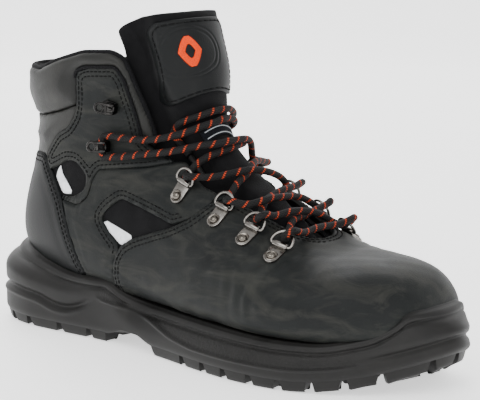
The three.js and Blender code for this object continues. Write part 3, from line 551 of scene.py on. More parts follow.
class Patch:
    """A stretch of the skin on a fine grid, with a field of the distance inside its outlines."""

    def __init__(self, stations, angles, outline=None, holes=(), throat=None):
        self.around = abs(angles[-1] - angles[0]) > 2 * math.pi - 0.01
        self.station, angle = np.meshgrid(stations, angles, indexing="ij")
        self.points = skin(self.station, angle)
        self.normals = skin_normal(self.station, angle)
        self.field = np.full(self.station.shape, 99.0)
        if outline is not None:
            self.narrow(inside_distance(self.points, outline, self.normals, SIDE_VIEW))
        for hole in holes:
            self.narrow(-inside_distance(self.points, hole, self.normals, SIDE_VIEW))
        if throat is not None:
            opening = -inside_distance(self.points, throat, self.normals, PLAN_VIEW)
            self.narrow(np.where(self.points[..., 2] > 52, opening, 99.0))

    def narrow(self, field):
        self.field = np.minimum(self.field, field)

    def cut(self, depth=0.0):
        """Points, normals, stations, depths and triangles of the part deeper than this inside the
        outlines, and which points lie on the cut."""
        low, high, share, triangles = clipped(self.field - depth, self.around)
        part = share[:, None]

        def flat(grid):
            return grid.reshape(-1, *grid.shape[2:])

        points = flat(self.points)[low] * (1 - part) + flat(self.points)[high] * part
        normals = unit(flat(self.normals)[low] * (1 - part) + flat(self.normals)[high] * part)
        station = flat(self.station)[low] * (1 - share) + flat(self.station)[high] * share
        depths = np.maximum(flat(self.field)[low] * (1 - share) + flat(self.field)[high] * share, 0)
        return points, normals, station, depths, triangles, share > 0

    def shell(self, top, bottom):
        """Closed sheet between two heights over the skin; both take points, stations and depths.
        The faces are the outside, as many for the inside, then the rim. Also gives that number."""
        points, normals, station, depth, triangles, _ = self.cut()
        outer = points + normals * top(points, station, depth)[:, None]
        inner = points + normals * bottom(points, station, depth)[:, None]
        faces = sheet_faces(triangles, boundary_edges(triangles), len(points))
        return np.concatenate([outer, inner]), faces, len(triangles)

    def contours(self, depth):
        """Lines at a depth inside the outlines: lists of points with their normals."""
        points, normals, _, _, triangles, on_cut = self.cut(depth)
        after = {a: b for a, b in boundary_edges(triangles).tolist() if on_cut[a] and on_cut[b]}
        starts = [a for a in after if a not in set(after.values())]
        lines = []
        while after:
            here = starts.pop() if starts else next(iter(after))
            chain = [here]
            while here in after:
                here = after.pop(here)
                chain.append(here)
            if len(chain) > 8:
                lines.append(np.concatenate([points[chain], normals[chain]], 1))
        return lines


# ---------------------------------------------------------------- seams, seen from the side (x, z)
FAR = 170
HEEL_SEAM = [[-62, 0], [-69, 37], [-77, 57], [-84, 76], [-93, 89], [-100, 97]]
HEEL_TOP = [[-103, 99], [-118, 98], [-FAR, 97]]
VAMP_SEAM_LOW = [[-43, 0], [-43, 38], [-41, 49], [-36, 56]]
VAMP_SEAM_WINDOW = [[-27, 61], [-12, 66], [0, 70]]
VAMP_SEAM_HIGH = [[12, 76], [22, 85], [28, 92]]
WINDOW_EDGE = [[-1, 71.5], [-15, 75], [-27, 78], [-39, 81], [-48, 75], [-53, 69], [-47, 62], [-38, 55]]
ANKLE_SEAM = [[-24, 99], [-56, 95], [-60, 88], [-63, 79], [-71, 74]]
ANKLE_REAR = [[-96, 103], [-88, 112], [-79, 116], [-73, 123], [-71, 129]]
ROLL_SEAM = [[-70, 147], [-63, 150], [-43, 151], [-38, 144], [-34, 130], [-30, 114]]
ROLL_END = [[-25, 110]]
ANKLE_THROAT = [[-20, 107], [-14, 104.5], [-7, 103]]
QUARTER_THROAT = [[-2, 103], [4, 97], [12, 92], [22, 89]]
COLLAR_SEAM = [[-FAR, 119], [-107, 120], [-87, 124]]
COLLAR_TOP = [[-22, 112], [-24, 118], [-30, 135], [-35, 148], [-39, 156], [-46, 159],
              [-65, 158], [-91, 151], [-105, 146], [-FAR, 146]]
UPPER_WINDOW = [[-72, 98], [-64, 91], [-65, 83], [-74, 78], [-88, 78], [-96, 91], [-86, 95], [-80, 98]]
BACKING = [[-95, 100], [-60, 102], [-54, 92], [4, 78], [4, 66], [-30, 50], [-58, 55], [-66, 72], [-97, 78]]
LOW_STRIP = [[-53, 69], [-28, 61.5], [-37, 55.5], [-47, 62]]
HIGH_STRIP = [[-87, 95], [-91, 88], [-84, 79], [-75, 79], [-79, 84], [-85, 90]]
# Opening over the instep, seen from above (x, y).
THROAT = [[75.5, -1], [74, -8], [71, -12], [63, -16], [44, -21.5], [20, -24], [-30, -24],
          [-30, 24], [20, 22], [44, 20], [63, 15.5], [71, 11], [74, 6]]

HEEL_CAP = [[-FAR, 0]] + HEEL_SEAM + HEEL_TOP
ACHILLES = HEEL_TOP[::-1] + HEEL_SEAM[-1:] + ANKLE_REAR + COLLAR_SEAM[::-1]
ANKLE = HEEL_SEAM[3:] + ANKLE_REAR + ROLL_SEAM + ROLL_END + ANKLE_THROAT + ANKLE_SEAM
QUARTER = (HEEL_SEAM[:4] + ANKLE_SEAM[::-1] + ANKLE_THROAT[-1:] + QUARTER_THROAT
           + [VAMP_SEAM_HIGH[1], VAMP_SEAM_HIGH[0]] + WINDOW_EDGE + VAMP_SEAM_LOW[2::-1])
VAMP = VAMP_SEAM_LOW + VAMP_SEAM_WINDOW + VAMP_SEAM_HIGH + [[FAR, 92], [FAR, 0]]
COLLAR = COLLAR_SEAM + ANKLE_REAR[-1:] + ROLL_SEAM + ROLL_END + COLLAR_TOP
LINING = ([[FAR, 0], [FAR, 120], [28, 120]] + QUARTER_THROAT[::-1] + ANKLE_THROAT[::-1] + ROLL_END
          + ROLL_SEAM[::-1] + ANKLE_REAR[-1:] + COLLAR_SEAM[::-1] + [[-FAR, 0]])
THROAT_LINE = rounded(THROAT, 5)


# ---------------------------------------------------------------- lace
# Middle of the lace, from the end tucked in on the lateral side, through every ring and the
# lower hooks, to the end tucked in on the medial side. The list repeats the one in part.mjs. Its
# points were worked out by another script from waypoints placed by hand, as report.md says.
LACE_ROUTE = [
    [-5.5, -16.5, 105.5], [-12.5, -17, 112], [-14.5, -18.5, 115.5], [-14, -19.5, 117.5], [-11, -20, 121],
    [-7.5, -19, 123.5], [-1.5, -12.5, 126.5], [1.5, -6, 128.5], [2, 3, 129], [0, 9.5, 128.5],
    [-4.5, 17.5, 125.5], [-11, 23.5, 122], [-19, 28, 118], [-27.5, 31.5, 115], [-36.5, 34.5, 113],
    [-45.5, 37, 114], [-47.6, 37.5, 114.1], [-49.6, 37.5, 112.6], [-49.6, 38, 106], [-49.1, 38, 103.8],
    [-47.1, 37.5, 102.8], [-37.5, 35.5, 103.5], [-28, 33, 104.5], [-18.5, 30, 105.5], [-9.5, 26, 107],
    [-1.5, 21.1, 108.5], [5.5, 14.5, 110], [10.5, 6.5, 110.5], [12.5, -2.5, 110], [11, -11.5, 108],
    [7.7, -20.1, 104.9], [4.5, -26, 99.5], [4.4, -27.2, 97.8], [4.4, -29.5, 97.5], [5.7, -31.3, 96.8],
    [7.4, -32.8, 97.4], [10.1, -32.3, 97.5], [16.5, -25.5, 97], [23.5, -19, 98.5], [29.1, -11, 100.2],
    [31.6, -2, 99.6], [32, 7.5, 97], [31.5, 16, 93], [31.4, 20.9, 88.3], [31.4, 23, 87.8],
    [32.8, 25.3, 87.8], [34.4, 26.8, 89], [36.7, 26.2, 90.3], [38.2, 23.6, 90.7], [40, 14.5, 89.5],
    [41.5, 4.5, 89.5], [43, -5, 88], [45.9, -14.5, 86.2], [49.6, -22.2, 82], [51, -25.5, 79.5],
    [52, -28, 79.5], [53.4, -29.7, 80], [55, -30.5, 81.1], [57.1, -29.9, 82.2], [58.1, -27.6, 82.6],
    [58, -21, 81], [60.1, -12, 82.1], [62.2, -2.5, 81.5], [64, 7, 79], [65.9, 15.2, 74.4],
    [68.4, 21.3, 71.5], [69.4, 23.1, 72.4], [70.9, 24.5, 73.4], [72.7, 24.6, 75.3], [74.4, 22.3, 76.1],
    [73.6, 12.9, 74.2], [72, 3.5, 74], [72, -6.5, 74], [73, -16, 73.5], [74.3, -25.1, 75.8],
    [73.8, -27.4, 75.4], [72.1, -28.6, 74.2], [69.9, -27.8, 72.4], [68.9, -25.8, 70.9],
    [65.3, -18.5, 74.8], [61.6, -9.9, 77.9], [58.8, 0, 78], [58, 9.5, 79.5], [58.3, 18.9, 81.2],
    [57.9, 23.8, 82.9], [56.2, 25.7, 81.8], [53.9, 25.4, 80.5], [52.5, 23.5, 79.5], [51.5, 21.5, 79.4],
    [50.5, 13.5, 84], [50, 4.5, 87], [50.5, -5.5, 88], [49.9, -15.2, 88.3], [48.4, -22.2, 87.3],
    [44, -27, 86], [39.1, -30.7, 87.1], [37.1, -31.7, 87.6], [34.7, -31.9, 87.9], [31.7, -28.3, 86.8],
    [31, -24.9, 89.1], [29.3, -17.3, 94.3], [26.9, -8, 97.3], [23.5, 0.5, 101], [19, 9, 102],
    [15, 17.5, 101], [11.6, 26, 99], [10.6, 28.7, 98.6], [8.5, 30, 97.9], [6.3, 29, 97.3],
    [4.9, 27.1, 96.9], [4.4, 24.6, 97.7], [5.9, 21, 103.3], [10, 15.5, 109.5], [12.5, 10, 113],
    [14, 3, 114], [14, -6, 114], [12, -12.5, 113], [5.5, -19.5, 112], [-2, -25, 110], [-11, -28.5, 108],
    [-20.5, -31.5, 106.5], [-30, -34, 105], [-39.5, -36, 103.5], [-46.5, -37.5, 102.9],
    [-49.1, -38, 103.4], [-50.1, -38, 110], [-49.6, -38, 112.1], [-48.1, -37.5, 114.1],
    [-38.5, -35.5, 114], [-29, -33.5, 113.5], [-19.5, -30.5, 114], [-10.5, -27, 116], [-3, -22, 118.5],
    [2.5, -15, 121.5], [5, -6, 123.5], [4.5, 1, 124.5], [2, 10, 123], [-3.5, 17, 120], [-8.5, 20, 117.5],
    [-12.5, 19.5, 115.5], [-13, 18.5, 114], [-11.5, 16.5, 111], [-8, 15.5, 107.5],
]


def smooth_line(points, step):
    """Curve through points, with a point about every step."""
    points = np.asarray(points, float)
    gaps = np.linalg.norm(np.diff(points, axis=0), axis=1)
    places = np.concatenate([[0], np.cumsum(gaps)])
    curve = natural_spline(points)
    fine = curve(np.linspace(0, len(points) - 1, 40 * len(points)))
    return respaced(fine, step)


def tube(line, radius, sides=12, close=False):
    """Round tube along a line. The radius may be one number or one for each point."""
    line = np.asarray(line, float)
    count = len(line)
    if close:
        along = unit(np.roll(line, -1, 0) - np.roll(line, 1, 0))
    else:
        along = unit(np.gradient(line, axis=0))
    sideways = np.zeros_like(line)
    side = np.cross(along[0], [0, 0, 1.0])
    if np.linalg.norm(side) < 0.1:
        side = np.cross(along[0], [0, 1.0, 0])
    for i in range(count):
        side = unit(side - along[i] * (side @ along[i]))
        sideways[i] = side
    other = np.cross(along, sideways)
    angle = np.arange(sides) / sides * 2 * math.pi
    radius = np.broadcast_to(np.asarray(radius, float), (count,))[:, None, None]
    ring = sideways[:, None] * np.cos(angle)[None, :, None] + other[:, None] * np.sin(angle)[None, :, None]
    points = (line[:, None] + radius * ring).reshape(-1, 3)
    return points, wrapped(count, sides, close=close)


def braided_cord():
    """Round braid with orange tracer threads; its UVs run in centimetres along and turns around."""
    m = Nodes("lace_cord")
    place = m.add("ShaderNodeSeparateXYZ", {0: m.tree.nodes["Texture Coordinate"].outputs["UV"]})
    along, turn = place.outputs["X"], place.outputs["Y"]

    def strands(lean, starts):
        slant = m.math("MULTIPLY", along, lean)
        wide = m.math("MULTIPLY", turn, starts)
        return m.math("FRACT", m.math("ADD", slant, wide))

    def ridge(value):
        return m.math("SINE", m.math("MULTIPLY", value, math.pi))

    left, right = ridge(strands(5.2, 8.0)), ridge(strands(-5.2, 8.0))
    weave = m.math("MAXIMUM", left, right)
    fuzz = m.noise(0.3, 3, 0.6)
    orange = m.math("LESS_THAN", strands(1.35, 1.0), 0.15)
    over = m.math("GREATER_THAN", right, 0.60)
    black = m.ramp(weave, [(0.55, (0.0012, 0.0012, 0.0012)), (1.0, (0.0085, 0.0082, 0.0082))])
    tracer = m.ramp(fuzz, [(0.3, (0.34, 0.026, 0.004)), (0.7, (0.56, 0.058, 0.010))])
    m.bump([(weave, 0.35, 0.9), (fuzz, 0.08, 0.5)])
    return m.finish(m.mix(m.math("MULTIPLY", orange, over), black, tracer), 0.75, Specular_IOR_Level=0.2)


MATERIALS["lace_cord"] = braided_cord()
MATERIALS["lace_tip"] = rubber("lace_tip", (0.004, 0.004, 0.004), (0.010, 0.010, 0.010))


def add_lace():
    line = smooth_line(LACE_ROUTE, LACE_STEP)
    sides = 14
    points, faces = tube(line, LACE_RADIUS, sides)
    lace = new_piece("lace_cord", points, faces, "lace_cord", slot="lace_cord")
    layer = lace.data.uv_layers.new(name="braid")
    rows = np.arange(len(line) - 1)[:, None]
    columns = np.arange(sides)[None]
    corners = [(rows, columns), (rows, columns + 1), (rows + 1, columns + 1), (rows + 1, columns)]
    uv = np.stack([np.stack(np.broadcast_arrays(r * LACE_STEP / 10, c / sides), -1) for r, c in corners], 2)
    uv = uv.reshape(-1, 2)
    flat = np.zeros((len(lace.data.loops), 2))
    flat[:len(uv)] = uv
    layer.data.foreach_set("uv", flat.ravel())
    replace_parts(lace, "lace")
    ends = {"lateral": (np.array(LACE_ROUTE[0]), np.array([4.5, -17.5, 96.5])),
            "medial": (np.array(LACE_ROUTE[-1]), np.array([4.0, 14.5, 97.0]))}
    for side, (end, aim) in ends.items():
        along = unit(aim - end)
        share = np.linspace(0, 1, 16)
        radius = 1.6 * np.sqrt(np.clip(1 - (2 * share - 1) ** 16, 0.15, 1))
        tip = tube(end + along * (0.4 + 14 * share[:, None]), radius, 16)
        piece = new_piece(f"lace_end_{side}", *tip, "lace_tip", slot="lace_tip")
        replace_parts(piece, f"lace_tip_{side}")


# ---------------------------------------------------------------- leather panels
def edge_drop(depth, radius):
    """How far a rounded edge falls below the face, at a depth inside the outline."""
    short = radius - np.minimum(depth, radius)
    return radius - np.sqrt(radius ** 2 - short ** 2)


def groove(depth, at, width, deep):
    return deep * np.exp(-((depth - at) / width) ** 2)


def wrinkle(points, size, seed):
    """Smooth uneven value from -1 to 1 with bumps about this far apart."""
    turn = np.random.default_rng(seed)
    value = np.zeros(len(points))
    for _ in range(7):
        direction = unit(turn.normal(size=3)) * 2 * math.pi / (size * turn.uniform(0.7, 1.5))
        value += np.sin(points @ direction + turn.uniform(0, 6.3))
    return value / 3.5


def panel_top(raised=0.5, stitch=STITCH_ROWS, puff=0.0):
    def top(points, station, depth):
        height = raised * (1 - ease(depth, 5, 12)) - edge_drop(depth, 0.9)
        for at in stitch:
            height -= groove(depth, at, 0.75, 0.42)
        height += puff * ease(depth, 4, 16) + 0.18 * wrinkle(points, 26, 3)
        return height
    return top


def vamp_top(points, station, depth):
    """Creases run across where the foot bends, and the steel toe shows as a soft swelling."""
    height = panel_top(0.6)(points, station, depth)
    bend = np.exp(-((points[:, 0] - 66) / 20) ** 2)
    place = points[:, 0] + 0.28 * np.abs(points[:, 1]) + 2.5 * wrinkle(points, 22, 5)
    across = np.sin(place * 2 * math.pi / 9.5)
    height += bend * 0.42 * across * ease(np.abs(points[:, 1]), 12, 26) * ease(points[:, 2], 28, 45)
    folds = np.sin((points[:, 2] - 0.5 * points[:, 0] + 3 * wrinkle(points, 30, 8)) * 2 * math.pi / 11)
    height += 0.22 * folds * np.exp(-((points[:, 0] - 20) / 26) ** 2)
    height += 0.45 * ease(points[:, 0], 90, 98) + 0.12 * wrinkle(points, 12, 9)
    return height


def level(height):
    """The same height all over a panel."""
    return lambda points, station, depth: np.full(len(points), float(height))


FULL = np.linspace(-math.pi, math.pi, 261)
HALF = {"lateral": np.linspace(-math.pi, 0, 131), "medial": np.linspace(0, math.pi, 131)}
stitches = []


def stations(low, high):
    """Stations of a fine grid, closer together where the toe turns down."""
    fine = np.concatenate([np.linspace(0, 1, 34)[:-1], np.arange(1, LAST_SECTION + 0.01, 0.06)])
    return fine[(fine >= low - 0.06) & (fine <= high + 0.06)]


def stitch_rows(patch, depths, top, keep):
    """Short threads in the grooves of a panel, along its outline, where keep says so."""
    length, gap = 2.0, 0.8
    for depth in depths:
        for line in patch.contours(depth):
            line = respaced(line, (length + gap) / 4)
            heights = top(line[:, :3], None, np.full(len(line), depth)) + 0.12
            for start in range(0, len(line) - 4, 4):
                a, b = start, start + 3
                if keep(line[a, :3]) and np.linalg.norm(line[b, :3] - line[a, :3]) < length * 1.6:
                    stitches.append(thread_stitch(line[a], line[b], heights[a]))


def thread_stitch(a, b, height):
    """One stitch: a rod with its ends sunk into the leather."""
    normal = unit(a[3:] + b[3:])
    share = np.array([0, 0.12, 0.5, 0.88, 1])
    sink = np.array([-0.3, 0.05, 0.16, 0.05, -0.3])
    line = a[:3] + (b[:3] - a[:3]) * share[:, None] + normal * (height + sink)[:, None]
    return tube(line, np.array([0.22, 0.36, 0.40, 0.36, 0.22]), 6)


def add_panel(name, node, patch, top, bottom, material, slot, inner=None):
    points, faces, outer = patch.shell(top, bottom)
    piece = new_piece(name, points, faces, material, slot=slot)
    if inner:
        piece.data.materials.append(MATERIALS[inner])
        index = np.zeros(len(faces), int)
        index[outer:2 * outer] = 1
        piece.data.polygons.foreach_set("material_index", index)
    sharpen(piece, 60)
    if node:
        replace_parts(piece, node)
    return piece


def above_sole(place):
    return place[2] > sole_top(place[0]) - 1


def near_line(line, place):
    return np.hypot(*(line - place[[0, 2]]).T).min()


def add_upper():
    inside = level(-LEATHER)
    vamp = Patch(stations(0, 9.5), FULL, rounded(VAMP, PANEL_CORNER), throat=THROAT_LINE)
    add_panel("vamp_leather", "vamp", vamp, vamp_top, inside, "nubuck", "nubuck")
    stitch_rows(vamp, STITCH_ROWS, vamp_top, above_sole)
    for side, angles in HALF.items():
        quarter = Patch(stations(5, 10.5), angles, rounded(QUARTER, PANEL_CORNER))
        add_panel(f"quarter_leather_{side}", f"quarter_{side}", quarter, panel_top(0.1), inside, "nubuck",
                  "nubuck")
        ankle = Patch(stations(6.5, 13), angles, rounded(ANKLE, PANEL_CORNER), [rounded(UPPER_WINDOW, 3)])
        add_panel(f"ankle_leather_{side}", f"ankle_panel_{side}", ankle, panel_top(0.5), inside, "nubuck",
                  "nubuck")
        stitch_rows(ankle, STITCH_ROWS, panel_top(0.5), above_sole)
        backing = Patch(stations(5.5, 11), angles, rounded(BACKING, 2))
        add_panel(f"window_suede_{side}", f"window_backing_{side}", backing,
                  lambda points, station, depth: 0.35 * wrinkle(points, 14, 4) - BACKING_FACES[0],
                  level(-BACKING_FACES[1]), "suede", "suede")
        for strip, outline in (("low", LOW_STRIP), ("high", HIGH_STRIP)):
            patch = Patch(stations(5.5, 11), angles, rounded(outline, 1.2, 0.5))
            add_panel(f"reflective_{strip}_film_{side}", f"reflective_{strip}_{side}", patch,
                      lambda points, station, depth: -1.2 - edge_drop(depth, 0.4), inside, "reflective",
                      "reflective")
        near_window = rounded(WINDOW_EDGE, 2, closed=False)
        stitch_rows(quarter, STITCH_ROWS, panel_top(0.1),
                    lambda place: near_line(near_window, place) < 6.5)
    heel = Patch(stations(6.5, 12.8), FULL, rounded(HEEL_CAP, PANEL_CORNER))
    heel_top = panel_top(0.55, puff=0.5)
    add_panel("heel_leather", "heel_cap", heel, heel_top, inside, "heel_leather", "smooth_leather")
    stitch_rows(heel, STITCH_ROWS, heel_top, above_sole)
    achilles = Patch(stations(8.5, 13), FULL, rounded(ACHILLES, 2))
    add_panel("achilles_leather", "achilles_panel", achilles, panel_top(0.0, (), 2.0), level(-4),
              "smooth_leather", "smooth_leather")
    collar = Patch(stations(8.5, 14), FULL, rounded(COLLAR, PANEL_CORNER))
    add_panel("collar_pad", "collar", collar,
              lambda points, station, depth: 1.0 - edge_drop(depth, 3.4) + 1.9 * ease(depth, 1, 13)
              + 0.35 * wrinkle(points, 17, 6),
              lambda points, station, depth: -6 + edge_drop(depth, 3.4) - 0.3 * wrinkle(points, 20, 7),
              "smooth_leather", "smooth_leather", inner="lining")
    add_piping(collar)
    lining = Patch(stations(0, 13.5), FULL, rounded(LINING, 2), throat=THROAT_LINE)
    add_panel("lining_textile", "lining", lining, level(-LINING_OUT), level(-LINING_IN), "lining",
              "textile")
    new_piece("stitching", *merged(stitches), "thread", slot="nubuck")


def add_piping(collar):
    """Black binding over the top edge of the collar, and cord along its seam with the ankle panels."""
    parts = []
    cords = ((COLLAR_TOP, 2.5, -2.5, 1.7), (ROLL_SEAM + ROLL_END, 3.0, 0.2, 1.0))
    for outline, reach, height, radius in cords:
        follow = rounded(outline, 2, closed=False)
        for line in collar.contours(0.4):
            line = line[[near_line(follow, place) < reach for place in line]]
            breaks = np.flatnonzero(np.linalg.norm(np.diff(line[:, :3], axis=0), axis=1) > 4) + 1
            for stretch in np.split(line, breaks):
                if len(stretch) > 12:
                    parts.append(tube(respaced(stretch[:, :3] + stretch[:, 3:] * height, 1.5), radius, 12))
    new_piece("collar_piping", *merged(parts), "piping", slot="smooth_leather")


# ---------------------------------------------------------------- tongue
OPENING = np.array([[2], [17], [25], [33], [37], [39], [42], [47], [52], [50], [48], [44]], float)
opening_at = natural_spline(OPENING)
TONGUE_FROM, TONGUE_TO, TONGUE_TUCK = 4.25, 14.6, 14


def half_opening(station):
    """Half angle, in degrees, of the opening that the tongue fills."""
    return opening_at(np.asarray(station, float) - 4)[..., 0]


def tongue_top(station, angle):
    """Height of the outside of the tongue: low under the eyestay, proud between."""
    opening = half_opening(station)
    middle = 1 - ease(np.abs(angle) / DEG, opening - 17, opening - 5)
    start = ease(station, 4.5, 5.4)
    edge = TONGUE_EDGE + 5 * ease(station, 13.3, 14.5)
    crest = -2 + 5 * ease(station, 8, 10.5)
    return edge + (crest - edge) * middle * start


def slab(lines, half_angle, top, bottom, columns, radius):
    """Closed slab over the skin with rounded edges, for angles -half..half at every station.
    half_angle may give two numbers, for the first and the last angle."""
    rows = len(lines)
    share = np.linspace(0, 1, columns)
    halves = [half_angle(t) for t in lines]
    limits = np.array([half if np.ndim(half) else (-half, half) for half in halves])
    angle = limits[:, :1] + (limits[:, 1:] - limits[:, :1]) * share
    station = np.broadcast_to(np.asarray(lines)[:, None], angle.shape)
    surface, normal = skin(station, angle), skin_normal(station, angle)
    across = np.linalg.norm(np.diff(surface, axis=1), axis=-1)
    width = np.concatenate([np.zeros((rows, 1)), np.cumsum(across, 1)], 1)
    along = np.linalg.norm(np.diff(surface, axis=0), axis=-1)
    length = np.concatenate([np.zeros((1, columns)), np.cumsum(along, 0)])
    edge = np.minimum.reduce([width, width[:, -1:] - width, length, length[-1:] - length])
    drop = edge_drop(edge, radius)
    outer = surface + normal * (top(station, angle) - drop)[..., None]
    inner = surface + normal * (bottom(station, angle) + drop)[..., None]
    points = np.concatenate([outer.reshape(-1, 3), inner.reshape(-1, 3)])
    index, quads = grid_quads(rows, columns)
    rim = np.concatenate([index[0], index[1:, -1], index[-1, -2::-1], index[-2:0:-1, 0]])
    return points, sheet_faces(quads, np.stack([rim, np.roll(rim, -1)], -1), rows * columns)


def add_tongue():
    lines = np.linspace(TONGUE_FROM, TONGUE_TO, 190)
    half = lambda t: (half_opening(t) + TONGUE_TUCK) * DEG * (1 - 0.45 * ease(t, 13.9, 14.8) ** 2)

    def top(station, angle):
        place = skin(station, angle).reshape(-1, 3)
        uneven = wrinkle(place, 18, 12).reshape(station.shape)
        edge_roll = np.abs(np.abs(angle) / DEG - (39 + 2.5 * (station - 11)))
        welt = 0.8 * np.exp(-(edge_roll / 2.4) ** 2) * ease(station, 10.8, 11.4)
        return tongue_top(station, angle) + 0.35 * uneven - welt

    body = slab(lines, half, top, lambda t, a: tongue_top(t, a) - TONGUE_THICKNESS, 81, 2.6)
    tongue = new_piece("tongue_pad", *body, "suede", body=None, slot="suede")
    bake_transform(tongue)
    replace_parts(tongue, "tongue", "tongue_flap")
    for side, sign in SIDES:
        def edges(t):
            near, far = (half_opening(t) + 3) * DEG, (half_opening(t) + 24) * DEG
            return (near, far) if sign > 0 else (-far, -near)
        gusset = slab(np.linspace(4.9, 9, 60), edges, lambda t, a: t * 0 - LINING_IN - 0.8,
                      lambda t, a: t * 0 - LINING_IN - 1.5, 16, 0.3)
        piece = new_piece(f"gusset_suede_{side}", *gusset, "suede", slot="suede")
        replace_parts(piece, f"gusset_{side}")
    add_patch()
    add_label()


def patch_point(across, along, height=0.0):
    """Place on the tongue patch: millimetres across from the middle and along up from its centre."""
    station = 12.32 + np.asarray(along, float) / 10.6
    radius = 30.0
    angle = (np.asarray(across, float) - 3) / radius
    return on_skin(station, angle, tongue_top(station, angle) + 1.7 + height)


def add_patch():
    """Rounded leather square with a raised border, stitching and a round embossed frame."""
    half_width, half_height, corner = 18.5, 20.0, 6.5
    across, along = np.meshgrid(np.linspace(-half_width, half_width, 110),
                                np.linspace(-half_height, half_height, 90))
    beyond = np.hypot(np.maximum(np.abs(across) - half_width + corner, 0),
                      np.maximum(np.abs(along) - half_height + corner, 0))
    inset = np.minimum(np.minimum(half_width - np.abs(across), half_height - np.abs(along)), corner - beyond)
    ring = np.hypot(across + 5, along - 4)
    height = -groove(inset, 2.0, 0.5, 0.3) - edge_drop(np.maximum(inset, 0), 0.9)
    for radius in (13.0, 11.0):
        height -= groove(ring, radius, 0.4, 0.35)
    low, high, share, triangles = clipped(inset, False)
    mixed = lambda grid: grid.ravel()[low] * (1 - share) + grid.ravel()[high] * share
    place = mixed(across), mixed(along)
    outer = patch_point(*place, mixed(height))
    inner = patch_point(*place, -1.5)
    faces = sheet_faces(triangles, boundary_edges(triangles), len(outer))
    patch = new_piece("patch_leather", np.concatenate([outer, inner]), faces, "heel_leather",
                      body="tongue_flap", slot="nubuck")
    sharpen(patch, 60)
    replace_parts(patch, "tongue_patch")
    border = rounded([[-half_width + 2, -half_height + 2], [half_width - 2, -half_height + 2],
                      [half_width - 2, half_height - 2], [-half_width + 2, half_height - 2]], 5, 0.7)
    rows = [tube(patch_point(border[i:i + 4, 0], border[i:i + 4, 1], 0.05), 0.28, 5)
            for i in range(0, len(border) - 4, 4)]
    new_piece("patch_stitching", *merged(rows), "thread", body="tongue_flap", slot="nubuck")
    add_emblem()


def add_emblem():
    """Plain lozenge of orange satin stitch: threads laid side by side, with an open middle."""
    threads = []
    for along in np.arange(-7.0, 7.01, 0.4):
        reach = 4.6 * (1 - abs(along) / 7.6) ** 0.6
        hollow = 2.0 * max(1 - abs(along) / 3.4, 0) ** 0.6
        spans = [(-reach, reach)] if hollow == 0 else [(-reach, -hollow), (hollow, reach)]
        for start, end in spans:
            across = np.linspace(start, end, 9)
            bow = 0.2 + 0.3 * np.sin(np.linspace(0, math.pi, 9))
            threads.append(tube(patch_point(across - 5, np.full(9, along + 4.0), bow), 0.25, 6))
    new_piece("patch_emblem", *merged(threads), "orange_thread", body="tongue_flap", slot="nubuck")


def add_label():
    """Woven label across the tongue with two plain bars."""
    lines = np.linspace(8.3, 8.7, 18)
    label = slab(lines, lambda t: 20 * DEG, lambda t, a: tongue_top(t, a) + 0.9,
                 lambda t, a: tongue_top(t, a) + 0.1, 60, 0.35)
    piece = new_piece("label_woven", *label, "label", slot="textile")
    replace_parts(piece, "tongue_label")
    bars = []
    for station in (8.38, 8.62):
        angle = np.linspace(-17, 17, 40) * DEG
        bars.append(tube(on_skin(station, angle, tongue_top(station, angle) + 0.92), 0.3, 6))
    new_piece("label_bars", *merged(bars), "grey_thread", slot="textile")


# ---------------------------------------------------------------- lacing hardware
RINGS = [
    # station and angle of the rivet, and of the middle of the ring
    ((4.91, 43.2), (4.94, 28)),
    ((5.72, 45.2), (5.7, 33)),
    ((6.61, 47), (6.6, 36)),
    ((7.86, 51), (7.88, 43)),
]
HOOKS = [(10.45, 70), (11.55, 71)]
PLATE_BASE = 0.7
PLATE_THICKNESS = 1.0
RING_AXIS = 8.2               # from the rivet to the bar of the ring
SLEEVE_RADIUS = 1.65
RING_WIRE = 0.75
RING_HALF_WIDTH = 5.9
RING_REACH = 7.6
RING_TILT = 25 * DEG
HOOK_NECK = 2.6
HOOK_LIP = 6.6


def skin_frame(start_place, end_place):
    """Origin and axes on the skin: x from one place towards another, z along the normal between."""
    start = skin(*start_place)
    normal = skin_normal((start_place[0] + end_place[0]) / 2, (start_place[1] + end_place[1]) / 2)
    x = skin(*end_place) - start
    x = unit(x - normal * (x @ normal))
    return start, np.stack([x, np.cross(normal, x), normal])


def placed(part, frame_at):
    origin, axes = frame_at
    points, faces = part
    return origin + np.asarray(points, float) @ axes, faces


def lathe(profile, sides=28):
    """Solid of revolution about z from (radius, z) points that run from the axis to the axis."""
    rings = [(r, z) for r, z in profile if r > 1e-6]
    points = [[r * math.cos(a), r * math.sin(a), z] for r, z in rings
              for a in np.arange(sides) / sides * 2 * math.pi]
    faces = wrapped(len(rings), sides, ends=False)
    points += [[0, 0, profile[0][1]], [0, 0, profile[-1][1]]]
    first, last = len(points) - 2, len(points) - 1
    top_ring = (len(rings) - 1) * sides
    faces += [[first, (j + 1) % sides, j] for j in range(sides)]
    faces += [[last, top_ring + j, top_ring + (j + 1) % sides] for j in range(sides)]
    return points, faces


